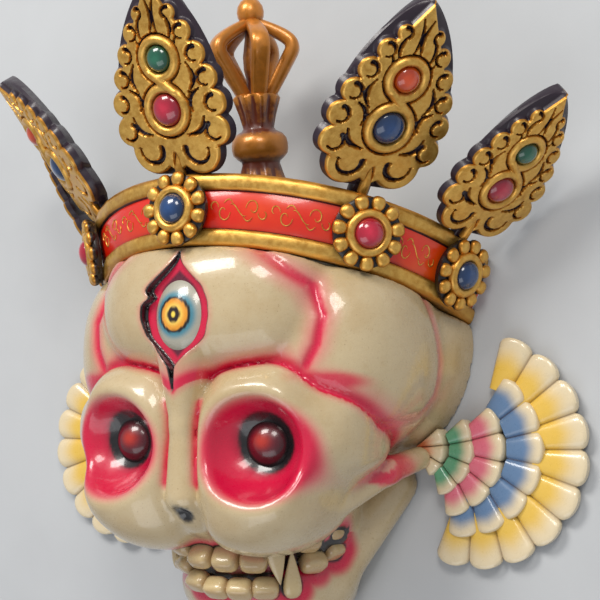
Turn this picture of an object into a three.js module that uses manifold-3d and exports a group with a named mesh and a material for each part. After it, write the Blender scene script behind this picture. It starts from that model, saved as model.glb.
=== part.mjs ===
// Carved and painted wooden skull mask with a five-leaf crown, a thunderbolt
// finial and two ear fans.  Millimetres.  The mask lies on the flat back rim
// of the skull: +X points to the mask's own left ear, +Y runs up the face to
// the crown and +Z comes out of the face.
import * as THREE from 'three';
import { mergeVertices } from 'three/addons/utils/BufferGeometryUtils.js';
import Module from 'manifold-3d';

const wasm = await Module();
wasm.setup();

// ---------- driving dimensions ----------
const FIT_GAP = 0.4;            // clearance between touching pieces
const DEG = Math.PI / 180;

const CRANIUM = { centre: [0, -28, -10], radii: [140, 106, 112] };
const TEMPLE = { centre: [54, -31, 52], radii: [78, 75, 76], power: 2.3 };
const BROW = { centre: [0, -4, 66], radii: [95, 60, 90], power: 2.5 };
const MIDFACE = { centre: [0, -88, 56], radii: [98, 78, 66] };
const SOCKET_RIM = { centre: [47, -100, 100], radii: [43, 60, 55], power: 2.9 };
const SOCKET_LOBE = { centre: [74, -86, 85], radii: [38, 32, 46], power: 2.5 };
const SOCKET_FOOT = { centre: [38, -138, 100], radii: [34, 29, 42], power: 2.4 };
const SOCKET_BOWL = { centre: [57, -98, 166], radii: [40, 36, 46] };
const PUPIL = { centre: [52, -94, 116], radii: [17, 17, 15] };
const THIRD_EYE_HOLLOW = { centre: [0, -13, 168], radii: [25, 35, 20] };
const THIRD_EYE_BALL = { centre: [0, -14, 139], radii: [22, 28, 15] };
const UPPER_JAW = { centre: [0, -146, 40], radii: [70, 42, 70] };
const LIP = { centre: [0, -138, 96], radii: [30, 21, 40] };
const LOWER_JAW = { centre: [0, -190, 32], radii: [62, 40, 62] };
const BRIDGE_LINE = [[0, -30, 138], [0, -84, 141], 22, 8];
const NOSE_LINE = [[0, -84, 141], [0, -127, 134], 8, 14.5];
const RAMUS_LINE = [[48, -182, 30], [84, -122, 2], 18, 14];
const CHEEK_LINE = [[64, -143, 98], [98, -112, 46], 13, 9];
const CHEEK_END_LINE = [[98, -112, 46], [108, -104, 20], 9, 8];

const SKULL_CENTRE = [0, -76, -40];  // all carving is seen from this point behind the face
const SKULL_REACH = 300;             // longest ray from the centre
const SKULL_DETAIL = 12;             // subdivisions of the icosahedron that is carved
const FRONT_DENSITY = 1.3;           // packs the facets towards the face
const HOLLOW_DETAIL = 6;
const MARCH_STEP = 4;                // coarse step along a ray, before it is halved down
const MARCH_HALVINGS = 12;
const WALL = 16;                     // carved wall thickness

const ARCH_Z = 42;                   // centre of the round tooth arch
const ARCH_LEAN = 38 * DEG;          // the teeth slope back under the nose
const UPPER_ROW = { radius: 61, height: 17 };
const LOWER_ROW = { radius: 56, height: 15 };
const TOOTH_DEPTH = 8;
const UPPER_TEETH = [                // angle round the arch, width, height of the middle
  { angle: 9 * DEG, width: 20, y: -171 },
  { angle: 26.5 * DEG, width: 20, y: -171 },
  { angle: 60 * DEG, width: 19, y: -158 },
  { angle: 79 * DEG, width: 14, y: -153 },
];
const LOWER_TEETH = [
  { angle: 0, width: 18, y: -188 },
  { angle: 17 * DEG, width: 18, y: -188 },
  { angle: 34 * DEG, width: 18, y: -187 },
  { angle: 66 * DEG, width: 18, y: -171.5 },
  { angle: 83 * DEG, width: 15, y: -164 },
];
const UPPER_FANG = { angle: 39 * DEG, rootY: -162, radius: 63, length: 20, root: 9, tip: 2 };
const LOWER_FANG = { angle: 51 * DEG, rootY: -190, radius: 58, length: 26, root: 9, tip: 2 };

// crown band: half an ellipse in plan, flared outward, dipping towards the back
const BAND_BOTTOM = { halfWidth: 135, depth: 146.1, y: -13.1 };
const BAND_TOP = { halfWidth: 148.9, depth: 147.3, y: 32.8 };
const BAND_DIP = 0.299;              // rise of the band per millimetre forward
const BAND_THICKNESS = 8;
const BAND_BORDER = 2.5;             // how far the gilt borders stand proud
const BAND_STEPS = 24;
const BAND_SWEEP = 186 * DEG;        // a little past the back plane, where it is cut flat

const ROSETTE_ANGLES = [0, 48.5 * DEG, 78 * DEG];
const ROSETTE = { disc: 22.5, discHeight: 5, beads: 11, beadCircle: 20.8, ring: 15.5, gem: 9.8 };

const LEAF = { length: 124, halfWidth: 44, plate: 9, relief: 4, stem: 16, stemTop: 14 };
const LEAF_GEMS = [{ height: 41, gem: 10.5 }, { height: 73.5, gem: 8.5 }];
const LEAF_CURLS = [
  { across: 15, height: 16, size: 9 },
  { across: 31, height: 46, size: 8 },
];
// azimuth, lean and spin in its own plane; each leaf is set by hand, so the right side differs
const LEAVES = [
  { name: 'middle', scale: 1, left: { azimuth: 0, lean: 42, spin: -5, foot: [0, 83, 141] } },
  {
    name: 'inner', scale: 1,
    left: { azimuth: 70, lean: 45, spin: 18, foot: [103, 75.5, 98] },
    right: { azimuth: 55, lean: 46, spin: -2, foot: [103, 75.5, 98] },
  },
  {
    name: 'outer', scale: 0.9,
    left: { azimuth: 83, lean: 50, spin: 19, foot: [146.5, 51.5, 37] },
    right: { azimuth: 80, lean: 35, spin: 25, foot: [147.5, 50, 26] },
  },
];
const CROWN_TILT = 16.65 * DEG;      // tilt of the crown's axis, from the band's dip

const VAJRA = { foot: [0, 76, 50], lean: 9.5 * DEG, prongs: 4, sunk: 15, footRadius: 19.5 };

const FAN_THICKNESS = 4;
const FAN_STEP = 2;                  // each inner row stands this much higher
const FAN_BACK = 3;
const FAN_ROOT = { x: 98, half: 8 };
const FAN_CENTRE_Y = -97;
const FAN_ROWS = [                   // from the ear outwards
  { centreX: 103, radius: 22, from: -62, to: 40, lobes: 3 },
  { centreX: 112, radius: 33, from: -78, to: 40, lobes: 4 },
  { centreX: 120, radius: 46, from: -86, to: 40, lobes: 5 },
  { centreX: 134, radius: 58.5, from: -100, to: 58, lobes: 7 },
  { centreX: 143, radius: 79, from: -112, to: 76, lobes: 10 },
];

const paint = (color, roughness, metalness = 0) =>
  new THREE.MeshStandardMaterial({ color, roughness, metalness });
const BONE = paint(0xcdb892, 0.35);
const GILT = paint(0xb98a34, 0.4, 0.7);
const AMBER_GILT = paint(0xa87432, 0.4, 0.6);
const FAN_PAINT = paint(0xd8b8a0, 0.35);

// ---------- small solid helpers ----------
function toSolid(geometry) {
  geometry.deleteAttribute('normal');
  geometry.deleteAttribute('uv');
  const merged = mergeVertices(geometry, 1e-3);
  return new wasm.Manifold(new wasm.Mesh({
    numProp: 3,
    vertProperties: new Float32Array(merged.attributes.position.array),
    triVerts: new Uint32Array(merged.index.array),
  }));
}

function toMesh(solid, name, material) {
  const data = solid.getMesh();
  const geometry = new THREE.BufferGeometry();
  geometry.setAttribute('position', new THREE.BufferAttribute(data.vertProperties, 3));
  geometry.setIndex(new THREE.BufferAttribute(data.triVerts, 1));
  geometry.computeVertexNormals();
  const mesh = new THREE.Mesh(geometry, material);
  mesh.name = name;
  return mesh;
}

const union = (solids) => solids.reduce((whole, part) => whole.add(part));

function mirrorX(geometry) {
  const copy = geometry.clone();
  copy.scale(-1, 1, 1);
  const index = copy.index.array;
  for (let i = 0; i < index.length; i += 3) {
    [index[i], index[i + 1]] = [index[i + 1], index[i]];
  }
  return copy;
}

// ---------- the skull as one smooth carved surface ----------
function ellipsoid(p, { centre, radii, power = 2 }) {
  let sum = 0;
  let slope = 0;
  const ratio = [];
  for (let i = 0; i < 3; i += 1) {
    ratio[i] = Math.abs((p[i] - centre[i]) / radii[i]) + 1e-9;
    sum += ratio[i] ** power;
  }
  const size = sum ** (1 / power);
  for (let i = 0; i < 3; i += 1) {
    slope += (ratio[i] ** (power - 1) / radii[i]) ** 2;
  }
  return (size - 1) / (size ** (1 - power) * Math.sqrt(slope));
}

function roundedLine(p, [start, end, startRadius, endRadius]) {
  const a = new THREE.Vector3(...start);
  const along = new THREE.Vector3(...end).sub(a);
  const offset = new THREE.Vector3(...p).sub(a);
  const t = THREE.MathUtils.clamp(offset.dot(along) / along.lengthSq(), 0, 1);
  return offset.addScaledVector(along, -t).length() - THREE.MathUtils.lerp(startRadius, endRadius, t);
}

function blend(a, b, width) {
  const h = THREE.MathUtils.clamp(0.5 + (0.5 * (b - a)) / width, 0, 1);
  return b + (a - b) * h - width * h * (1 - h);
}

const carve = (a, b, width) => -blend(-a, b, width);

function skullField(point) {
  const p = [Math.abs(point[0]), point[1], point[2]];
  let d = blend(ellipsoid(p, CRANIUM), ellipsoid(p, TEMPLE), 4);
  d = blend(d, ellipsoid(p, BROW), 4);
  d = blend(d, ellipsoid(p, MIDFACE), 10);
  const rim = blend(ellipsoid(p, SOCKET_RIM), ellipsoid(p, SOCKET_LOBE), 14);
  d = blend(d, blend(rim, ellipsoid(p, SOCKET_FOOT), 10), 3);
  d = blend(d, blend(roundedLine(p, BRIDGE_LINE), roundedLine(p, NOSE_LINE), 4), 6);
  d = blend(d, blend(ellipsoid(p, UPPER_JAW), ellipsoid(p, LIP), 8), 6);
  d = blend(d, blend(ellipsoid(p, LOWER_JAW), roundedLine(p, RAMUS_LINE), 10), 6);
  d = blend(d, blend(roundedLine(p, CHEEK_LINE), roundedLine(p, CHEEK_END_LINE), 4), 4);
  d = carve(d, ellipsoid(p, SOCKET_BOWL), 8);
  d = Math.min(d, ellipsoid(p, PUPIL));
  d = carve(d, ellipsoid(p, THIRD_EYE_HOLLOW), 3);
  return Math.min(d, ellipsoid(p, THIRD_EYE_BALL));
}

// Push each vertex of a sphere out from the skull's centre to the outermost
// point where the field changes sign.
function carvedSphere(detail, field) {
  const geometry = new THREE.IcosahedronGeometry(1, detail);
  const position = geometry.attributes.position;
  const direction = new THREE.Vector3();
  const at = (r) => SKULL_CENTRE.map((c, i) => c + direction.getComponent(i) * r);
  for (let i = 0; i < position.count; i += 1) {
    direction.fromBufferAttribute(position, i).normalize();
    const polar = Math.acos(direction.z);
    const packed = Math.PI * (polar / Math.PI) ** FRONT_DENSITY;
    const spread = Math.sin(packed) / Math.max(Math.sin(polar), 1e-9);
    direction.set(direction.x * spread, direction.y * spread, Math.cos(packed));
    let outer = SKULL_REACH;
    while (outer > MARCH_STEP && field(at(outer)) > 0) outer -= MARCH_STEP;
    let inner = outer;
    outer += MARCH_STEP;
    for (let pass = 0; pass < MARCH_HALVINGS; pass += 1) {
      const middle = (inner + outer) / 2;
      if (field(at(middle)) > 0) outer = middle;
      else inner = middle;
    }
    const [x, y, z] = at(inner);
    position.setXYZ(i, x, y, z);
  }
  return geometry;
}

function box(x0, x1, y0, y1, z0, z1) {
  const geometry = new THREE.BoxGeometry(x1 - x0, y1 - y0, z1 - z0);
  geometry.translate((x0 + x1) / 2, (y0 + y1) / 2, (z0 + z1) / 2);
  return toSolid(geometry);
}

// the back of the mask is sawn flat
function cutFlat(solid) {
  const far = 2 * SKULL_REACH;
  return solid.subtract(box(-far, far, -far, far, -far, 0));
}

function onArch(geometry, { y, radius }, angle) {
  geometry.rotateX(-ARCH_LEAN);
  geometry.rotateY(angle);
  geometry.translate(radius * Math.sin(angle), y, ARCH_Z + radius * Math.cos(angle));
  return geometry;
}

function tooth(row, { angle, width, y }, side) {
  const geometry = new THREE.SphereGeometry(1, 6, 5);
  geometry.scale(width / 2, row.height / 2, TOOTH_DEPTH);
  return toSolid(onArch(geometry, { radius: row.radius, y }, angle * side));
}

function fang({ angle, rootY, radius, length, root, tip }, direction, side) {
  const geometry = new THREE.CylinderGeometry(root, tip, length, 8);
  if (direction > 0) geometry.rotateX(Math.PI);
  geometry.translate(0, (direction * length) / 2, 0);
  return toSolid(onArch(geometry, { y: rootY, radius }, angle * side));
}

function buildSkull() {
  let solid = toSolid(carvedSphere(SKULL_DETAIL, skullField));
  for (const side of [-1, 1]) {
    for (const place of UPPER_TEETH) solid = solid.add(tooth(UPPER_ROW, place, side));
    for (const place of LOWER_TEETH) solid = solid.add(tooth(LOWER_ROW, place, side));
    solid = solid.add(fang(UPPER_FANG, -1, side));
    solid = solid.add(fang(LOWER_FANG, 1, side));
  }
  const hollow = toSolid(carvedSphere(HOLLOW_DETAIL, coreField));
  solid = solid.subtract(hollow);
  solid = solid.subtract(bandSeat());
  solid = solid.subtract(vajraSeat());
  const fanSeat = toMesh(buildFan(2 * FIT_GAP), 'seat', FAN_PAINT).geometry;
  solid = solid.subtract(toSolid(fanSeat.clone())).subtract(toSolid(mirrorX(fanSeat)));
  return cutFlat(solid);
}

// the hollow follows the broad masses of the skull, one wall thickness inside
function coreField(point) {
  const p = [Math.abs(point[0]), point[1], point[2]];
  const masses = [CRANIUM, TEMPLE, BROW, MIDFACE, UPPER_JAW, LOWER_JAW];
  const outer = masses.map((mass) => ellipsoid(p, mass)).reduce((a, b) => blend(a, b, 8));
  return outer + WALL;
}

// ---------- crown band ----------
const lerp = THREE.MathUtils.lerp;

// a point of the band: angle round the head, height 0..1, distance out of its face
function bandPoint(angle, height, out) {
  const x = lerp(BAND_BOTTOM.halfWidth, BAND_TOP.halfWidth, height) * Math.sin(angle);
  const z = lerp(BAND_BOTTOM.depth, BAND_TOP.depth, height) * Math.cos(angle);
  const y = lerp(BAND_BOTTOM.y, BAND_TOP.y, height) + BAND_DIP * z;
  return new THREE.Vector3(x + out * Math.sin(angle), y, z + out * Math.cos(angle));
}

// bend a straight extrusion of a section (height, distance out) round the head
function sweepBand(section, steps) {
  const shape = new THREE.Shape(section.map(([height, out]) => new THREE.Vector2(height, out)));
  const geometry = new THREE.ExtrudeGeometry(shape, { depth: 1, steps, bevelEnabled: false });
  const position = geometry.attributes.position;
  for (let i = 0; i < position.count; i += 1) {
    const angle = (position.getZ(i) - 0.5) * BAND_SWEEP;
    const p = bandPoint(angle, position.getX(i), position.getY(i));
    position.setXYZ(i, p.x, p.y, p.z);
  }
  return toSolid(geometry);
}

function buildBand() {
  const proud = BAND_BORDER;
  const section = [
    [0, -BAND_THICKNESS], [1, -BAND_THICKNESS], [1, proud * 0.6], [0.93, proud], [0.8, proud],
    [0.74, 0], [0.5, 1.2], [0.26, 0], [0.2, proud], [0.07, proud], [0, proud * 0.6],
  ];
  return cutFlat(sweepBand(section, BAND_STEPS));
}

// the band grown by the fitting gap, over a given depth and up to a given height
function bandEnvelope(inside, outside, topHeight) {
  const gap = FIT_GAP / (BAND_TOP.y - BAND_BOTTOM.y);
  const top = topHeight + gap;
  return sweepBand([[-gap, inside], [top, inside], [top, outside], [-gap, outside]], BAND_STEPS);
}

// everything that the band and the open space above it take from the skull
const bandSeat = () => bandEnvelope(-BAND_THICKNESS - FIT_GAP, 60, 3);

// what the leaves' stems stay clear of
const bandKeepOut = () => bandEnvelope(-60, BAND_BORDER + FIT_GAP, 1);

// ---------- rosettes ----------
function placeOn(object, origin, across, up, out) {
  object.matrixAutoUpdate = false;
  object.matrix.makeBasis(across, up, out).setPosition(origin);
  return object;
}

function buildRosette() {
  const { disc, discHeight, ring, gem } = ROSETTE;
  const turned = new THREE.LatheGeometry([
    [0, 0], [disc, 0], [disc, discHeight], [ring, discHeight], [ring, discHeight + 2.5],
    [gem + 2.5, discHeight + 4.5], [gem, discHeight + 3], [gem * 0.8, discHeight + 6],
    [gem * 0.4, discHeight + 7.6], [0, discHeight + 8],
  ].map(([r, h]) => new THREE.Vector2(r, h)), 10);
  turned.rotateX(Math.PI / 2);
  const parts = [toSolid(turned)];
  for (let i = 0; i < ROSETTE.beads; i += 1) {
    const bead = new THREE.CylinderGeometry(2.8, 4.4, 4.5, 4);
    bead.rotateX(Math.PI / 2);
    bead.translate(ROSETTE.beadCircle, 0, discHeight + 1.75);
    bead.rotateZ((i / ROSETTE.beads) * 2 * Math.PI);
    parts.push(toSolid(bead));
  }
  return union(parts);
}

function rosetteFrame(angle) {
  const low = bandPoint(angle, 0, BAND_BORDER);
  const high = bandPoint(angle, 1, BAND_BORDER);
  const up = high.clone().sub(low).normalize();
  const step = 0.01;
  const across = bandPoint(angle + step, 0.5, 0).sub(bandPoint(angle - step, 0.5, 0));
  const out = across.cross(up).normalize();
  const side = up.clone().cross(out);
  const origin = low.add(high).multiplyScalar(0.5).addScaledVector(out, FIT_GAP);
  return [origin, side, up, out];
}

// ---------- crown leaves ----------
// half-width of the flame leaf at a height, with five scallops to a side
function leafHalfWidth(height) {
  const s = height / LEAF.length;
  const scallop = 1 - 0.07 * Math.abs(Math.cos(s * Math.PI * 4.6)) * Math.sin(Math.PI * s);
  return LEAF.halfWidth * 2.32 * Math.sqrt(s) * (1 - s) ** 0.75 * scallop;
}

function leafShape(inset, steps) {
  const right = [];
  for (let i = 1; i < steps; i += 1) {
    const height = LEAF.length * (i / steps) ** 1.25;
    right.push(new THREE.Vector2(Math.max(leafHalfWidth(height) - inset, 1), height));
  }
  const first = right[0];
  const points = [new THREE.Vector2(0, first.y + 3), ...right, new THREE.Vector2(0, LEAF.length - inset)];
  const left = right.slice().reverse().map((p) => new THREE.Vector2(-p.x, p.y));
  return new THREE.Shape([...points, ...left]);
}

function extrude(shape, depth, z) {
  const geometry = new THREE.ExtrudeGeometry(shape, { depth, bevelEnabled: false, curveSegments: 4 });
  geometry.translate(0, 0, z);
  return geometry;
}

// a gem in its raised gilt ring, turned in one profile
function settingFor(gem) {
  const setting = new THREE.LatheGeometry([
    [0, 0], [gem + 8, 0], [gem + 8, 4], [gem + 4.5, 6], [gem, 4.5], [gem * 0.75, 8], [0, 9.5],
  ].map(([r, h]) => new THREE.Vector2(r, h)), 8);
  setting.rotateX(Math.PI / 2);
  return setting;
}

// one leaf in its place on the band; its stem is fitted to the band's top edge
function buildLeaf(leaf, pose) {
  const geometries = [extrude(leafShape(0, 11), LEAF.plate, 0)];
  geometries.push(extrude(leafShape(7, 6), LEAF.plate + LEAF.relief - 1, 0.5));
  for (const { height, gem } of LEAF_GEMS) {
    const setting = settingFor(gem);
    setting.translate(0, height, LEAF.plate + 2);
    geometries.push(setting);
  }
  for (const side of [-1, 1]) {
    for (const { across, height, size } of LEAF_CURLS) {
      const curl = new THREE.CylinderGeometry(size * 0.6, size, LEAF.relief + 3, 5);
      curl.rotateX(Math.PI / 2);
      curl.translate(side * across, height, LEAF.plate + LEAF.relief / 2);
      geometries.push(curl);
    }
  }
  const stem = new THREE.BoxGeometry(13, LEAF.stem + LEAF.stemTop, 7);
  stem.translate(0, (LEAF.stemTop - LEAF.stem) / 2, 4);
  geometries.push(stem);
  const place = leafMatrix(leaf, pose);
  const whole = union(geometries.map((geometry) => toSolid(geometry.applyMatrix4(place))));
  return whole.subtract(bandKeepOut());
}

function leafMatrix({ scale }, { azimuth, lean, spin, foot }) {
  const crownUp = new THREE.Vector3(0, Math.cos(CROWN_TILT), -Math.sin(CROWN_TILT));
  const crownFront = new THREE.Vector3(0, Math.sin(CROWN_TILT), Math.cos(CROWN_TILT));
  const outward = new THREE.Vector3(Math.sin(azimuth * DEG), 0, 0)
    .addScaledVector(crownFront, Math.cos(azimuth * DEG));
  const along = crownUp.clone().multiplyScalar(Math.cos(lean * DEG))
    .addScaledVector(outward, Math.sin(lean * DEG));
  const across = crownUp.clone().cross(outward).normalize();
  const face = across.clone().cross(along);
  across.applyAxisAngle(face, spin * DEG);
  along.applyAxisAngle(face, spin * DEG);
  const matrix = new THREE.Matrix4().makeBasis(across, along, face);
  return matrix.scale(new THREE.Vector3(scale, scale, scale)).setPosition(...foot);
}

// ---------- thunderbolt finial ----------
function buildVajra() {
  const profile = [
    [0, -VAJRA.sunk], [VAJRA.footRadius, -VAJRA.sunk], [19, 4], [13.5, 25], [14, 28], [19, 32], [20, 38], [19, 44],
    [11, 49], [12, 55], [16, 72], [8, 75], [6, 84], [7.5, 100], [4.5, 122],
    [8, 126], [9.5, 132], [8, 138], [0, 142],
  ].map(([r, h]) => new THREE.Vector2(r, h));
  const axis = new THREE.LatheGeometry(profile, 10);
  const parts = [toSolid(axis)];
  const route = new THREE.CatmullRomCurve3([
    [8, 72], [18, 87], [29, 103], [22, 114], [4, 123],
  ].map(([r, h]) => new THREE.Vector3(r, h, 0)));
  const section = new THREE.Shape([
    [-6, -4.5], [6, -4.5], [6, 4.5], [-6, 4.5],
  ].map(([a, b]) => new THREE.Vector2(a, b)));
  for (let i = 0; i < VAJRA.prongs; i += 1) {
    const prong = new THREE.ExtrudeGeometry(section, { steps: 6, extrudePath: route, bevelEnabled: false });
    prong.rotateY((i / VAJRA.prongs) * 2 * Math.PI);
    parts.push(toSolid(prong));
  }
  return union(parts);
}

// the round flat seat in the crown of the skull that the finial stands in
function vajraSeat() {
  const height = 80;
  const seat = new THREE.CylinderGeometry(VAJRA.footRadius + FIT_GAP, VAJRA.footRadius + FIT_GAP, height, 20);
  seat.translate(0, height / 2 - VAJRA.sunk - FIT_GAP, 0);
  seat.rotateX(VAJRA.lean);
  seat.translate(...VAJRA.foot);
  return toSolid(seat);
}

// ---------- ear fans ----------
function fanRowShape({ centreX, radius, from, to, lobes }, grow) {
  const points = [];
  const stepsPerLobe = 3;
  const steps = lobes * stepsPerLobe;
  const widen = grow / radius / DEG;
  for (let i = 0; i <= steps; i += 1) {
    const angle = lerp(from - widen, to + widen, i / steps) * DEG;
    const reach = (radius + grow) * (0.93 + 0.07 * Math.abs(Math.sin((i / stepsPerLobe) * Math.PI)));
    points.push(new THREE.Vector2(centreX + reach * Math.cos(angle), FAN_CENTRE_Y + reach * Math.sin(angle)));
  }
  points.push(new THREE.Vector2(FAN_ROOT.x - grow, FAN_CENTRE_Y + FAN_ROOT.half + grow));
  points.push(new THREE.Vector2(FAN_ROOT.x - grow, FAN_CENTRE_Y - FAN_ROOT.half - grow));
  return new THREE.Shape(points);
}

// five stepped rows of lobes, the innermost the thickest
function buildFan(grow = 0) {
  const rows = FAN_ROWS.map((row, i) => {
    const height = FAN_THICKNESS + FAN_STEP * (FAN_ROWS.length - i) + 2 * grow;
    return toSolid(extrude(fanRowShape(row, grow), height, FAN_BACK - grow));
  });
  return union(rows);
}

// ---------- assembly ----------
const mask = new THREE.Group();
const carving = new THREE.Group();
mask.add(carving);

const skull = toMesh(buildSkull(), 'skull', BONE);
carving.add(skull);
carving.add(toMesh(buildBand(), 'crown_band', GILT));

const rosette = buildRosette();
for (let i = 0; i < LEAVES.length; i += 1) {
  const { name, left, right } = LEAVES[i];
  for (const [ending, side, pose] of right ? [['_left', 1, left], ['_right', -1, right]] : [['', 1, left]]) {
    const disc = toMesh(rosette, `rosette_${name}${ending}`, GILT);
    carving.add(placeOn(disc, ...rosetteFrame(ROSETTE_ANGLES[i] * side)));
    const leaf = toMesh(buildLeaf(LEAVES[i], pose), `leaf_${name}${ending}`, GILT);
    if (side < 0) leaf.geometry = mirrorX(leaf.geometry);
    carving.add(leaf);
  }
}

const vajra = toMesh(buildVajra(), 'vajra_finial', AMBER_GILT);
vajra.position.set(...VAJRA.foot);
vajra.rotation.x = VAJRA.lean;
carving.add(vajra);

const fan = toMesh(buildFan(), 'ear_fan_left', FAN_PAINT);
carving.add(fan);
const otherFan = new THREE.Mesh(mirrorX(fan.geometry), FAN_PAINT);
otherFan.name = 'ear_fan_right';
carving.add(otherFan);

// the origin is under the middle of the mask's box, on the surface it lies on
mask.updateMatrixWorld(true);
const bounds = new THREE.Box3().setFromObject(mask, true);
const middle = bounds.getCenter(new THREE.Vector3());
carving.position.set(-middle.x, -middle.y, -bounds.min.z);

export default mask;
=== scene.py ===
"""A carved and lacquered skull dance mask: the looks of every piece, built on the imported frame."""

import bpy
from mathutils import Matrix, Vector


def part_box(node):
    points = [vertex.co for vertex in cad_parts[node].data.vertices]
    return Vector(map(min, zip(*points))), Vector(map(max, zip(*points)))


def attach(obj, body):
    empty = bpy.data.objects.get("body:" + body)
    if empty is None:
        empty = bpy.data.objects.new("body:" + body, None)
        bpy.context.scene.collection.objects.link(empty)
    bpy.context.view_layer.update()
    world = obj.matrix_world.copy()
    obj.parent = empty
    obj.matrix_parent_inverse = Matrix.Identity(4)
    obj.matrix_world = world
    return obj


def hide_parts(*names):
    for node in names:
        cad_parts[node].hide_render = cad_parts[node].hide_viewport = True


bl_info = {
    "name": "Skull dance mask",
    "version": (1, 0, 0),
    "blender": (4, 5, 0),
    "location": "3D View > Sidebar > Mask",
    "description": "Carves, gilds and paints the pieces of a five-leaf crowned skull mask",
    "category": "Add Mesh",
}

import math

import bpy
import numpy as np
import openvdb
from mathutils import Matrix, Vector

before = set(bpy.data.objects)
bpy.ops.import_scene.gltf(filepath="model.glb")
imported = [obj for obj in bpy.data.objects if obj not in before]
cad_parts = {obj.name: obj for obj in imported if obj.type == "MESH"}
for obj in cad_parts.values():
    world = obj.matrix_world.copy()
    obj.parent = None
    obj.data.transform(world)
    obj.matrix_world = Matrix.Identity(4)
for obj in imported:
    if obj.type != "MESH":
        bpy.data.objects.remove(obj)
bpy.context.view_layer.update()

MM = 0.001
BODY = "root"
SMOOTH_ANGLE = math.radians(50)   # flatter edges than this are shaded smooth

# The carving is drawn in millimetres about the middle of the face: +X to the mask's own left,
# +Y up the face, +Z out of the face.  The crown band tells how far that drawing is moved in
# the frame: its middle along X, its lowest edge along Y.
BAND_LOW_Y = -13.1
BAND_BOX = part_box("crown_band")
SHIFT_X = (BAND_BOX[0].x + BAND_BOX[1].x) / 2 / MM
SHIFT_Y = BAND_BOX[0].y / MM - BAND_LOW_Y


# ---------------------------------------------------------------- colours
def tint(red, green, blue):
    """A linear colour from the 0..255 values a painter's chart gives."""
    return tuple(
        (c / 255 / 12.92) if c <= 10 else ((c / 255 + 0.055) / 1.055) ** 2.4
        for c in (red, green, blue)
    )


def colour_property(name, description, red, green, blue):
    return bpy.props.FloatVectorProperty(
        name=name, description=description, subtype="COLOR", size=3,
        min=0, max=1, default=tint(red, green, blue),
    )


def length_property(name, description, millimetres):
    return bpy.props.FloatProperty(
        name=name, description=description, subtype="DISTANCE", unit="LENGTH",
        min=0, default=millimetres * MM,
    )


class MaskColours(bpy.types.PropertyGroup):
    """The paints, gilding and glazes of the mask."""

    bone: colour_property("Bone", "Cream lacquer of the skull", 199, 179, 141)
    bone_aged: colour_property("Aged bone", "Where the lacquer has yellowed", 178, 148, 100)
    crimson: colour_property("Crimson", "Airbrushed red of sockets and creases", 205, 12, 60)
    blush: colour_property("Blush", "Thin crimson fading out over the cream", 220, 84, 104)
    line: colour_property("Line", "Black brush lines and the gaps between teeth", 16, 10, 12)
    ivory: colour_property("Ivory", "Teeth", 214, 190, 138)
    gold: colour_property("Gold", "Gold paint of crown, leaves and rosettes", 204, 140, 48)
    gold_pale: colour_property("Pale gold", "Rubbed edges of the gold paint", 236, 190, 98)
    glaze: colour_property("Glaze", "Dark glaze left in the carving", 26, 15, 14)
    plum: colour_property("Plum", "Dark edges and backs of the leaves", 40, 26, 38)
    amber: colour_property("Amber", "Brown gold of the finial", 196, 124, 42)
    amber_dark: colour_property("Dark amber", "Brown glaze on the finial", 92, 38, 18)
    panel: colour_property("Panel", "Red panels of the crown band", 216, 30, 2)
    panel_orange: colour_property("Orange panel", "Where the panels turn orange", 236, 92, 10)
    gem_blue: colour_property("Blue stone", "Painted stones", 6, 54, 104)
    gem_green: colour_property("Green stone", "Painted stones", 6, 88, 62)
    gem_crimson: colour_property("Crimson stone", "Painted stones", 172, 8, 46)
    gem_pink: colour_property("Pink stone", "Painted stones", 196, 12, 52)
    gem_orange: colour_property("Orange stone", "Painted stones", 214, 68, 6)
    wall: colour_property("Floor", "Pale floor", 190, 192, 194)


class MaskSizes(bpy.types.PropertyGroup):
    """Sizes that set how finely the pieces are made and how they are framed."""

    skull_grain: length_property("Skull grain", "Spacing of the skull's carved surface", 2.4)
    gem_radius: length_property("Rosette stone", "Radius of the stone in a rosette", 9.8)
    scroll_width: length_property("Scroll width", "Width of the gold brush scrolls", 0.9)
    lens: bpy.props.FloatProperty(
        name="Lens", description="Focal length of the camera", subtype="DISTANCE_CAMERA",
        default=78.33,
    )


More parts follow.
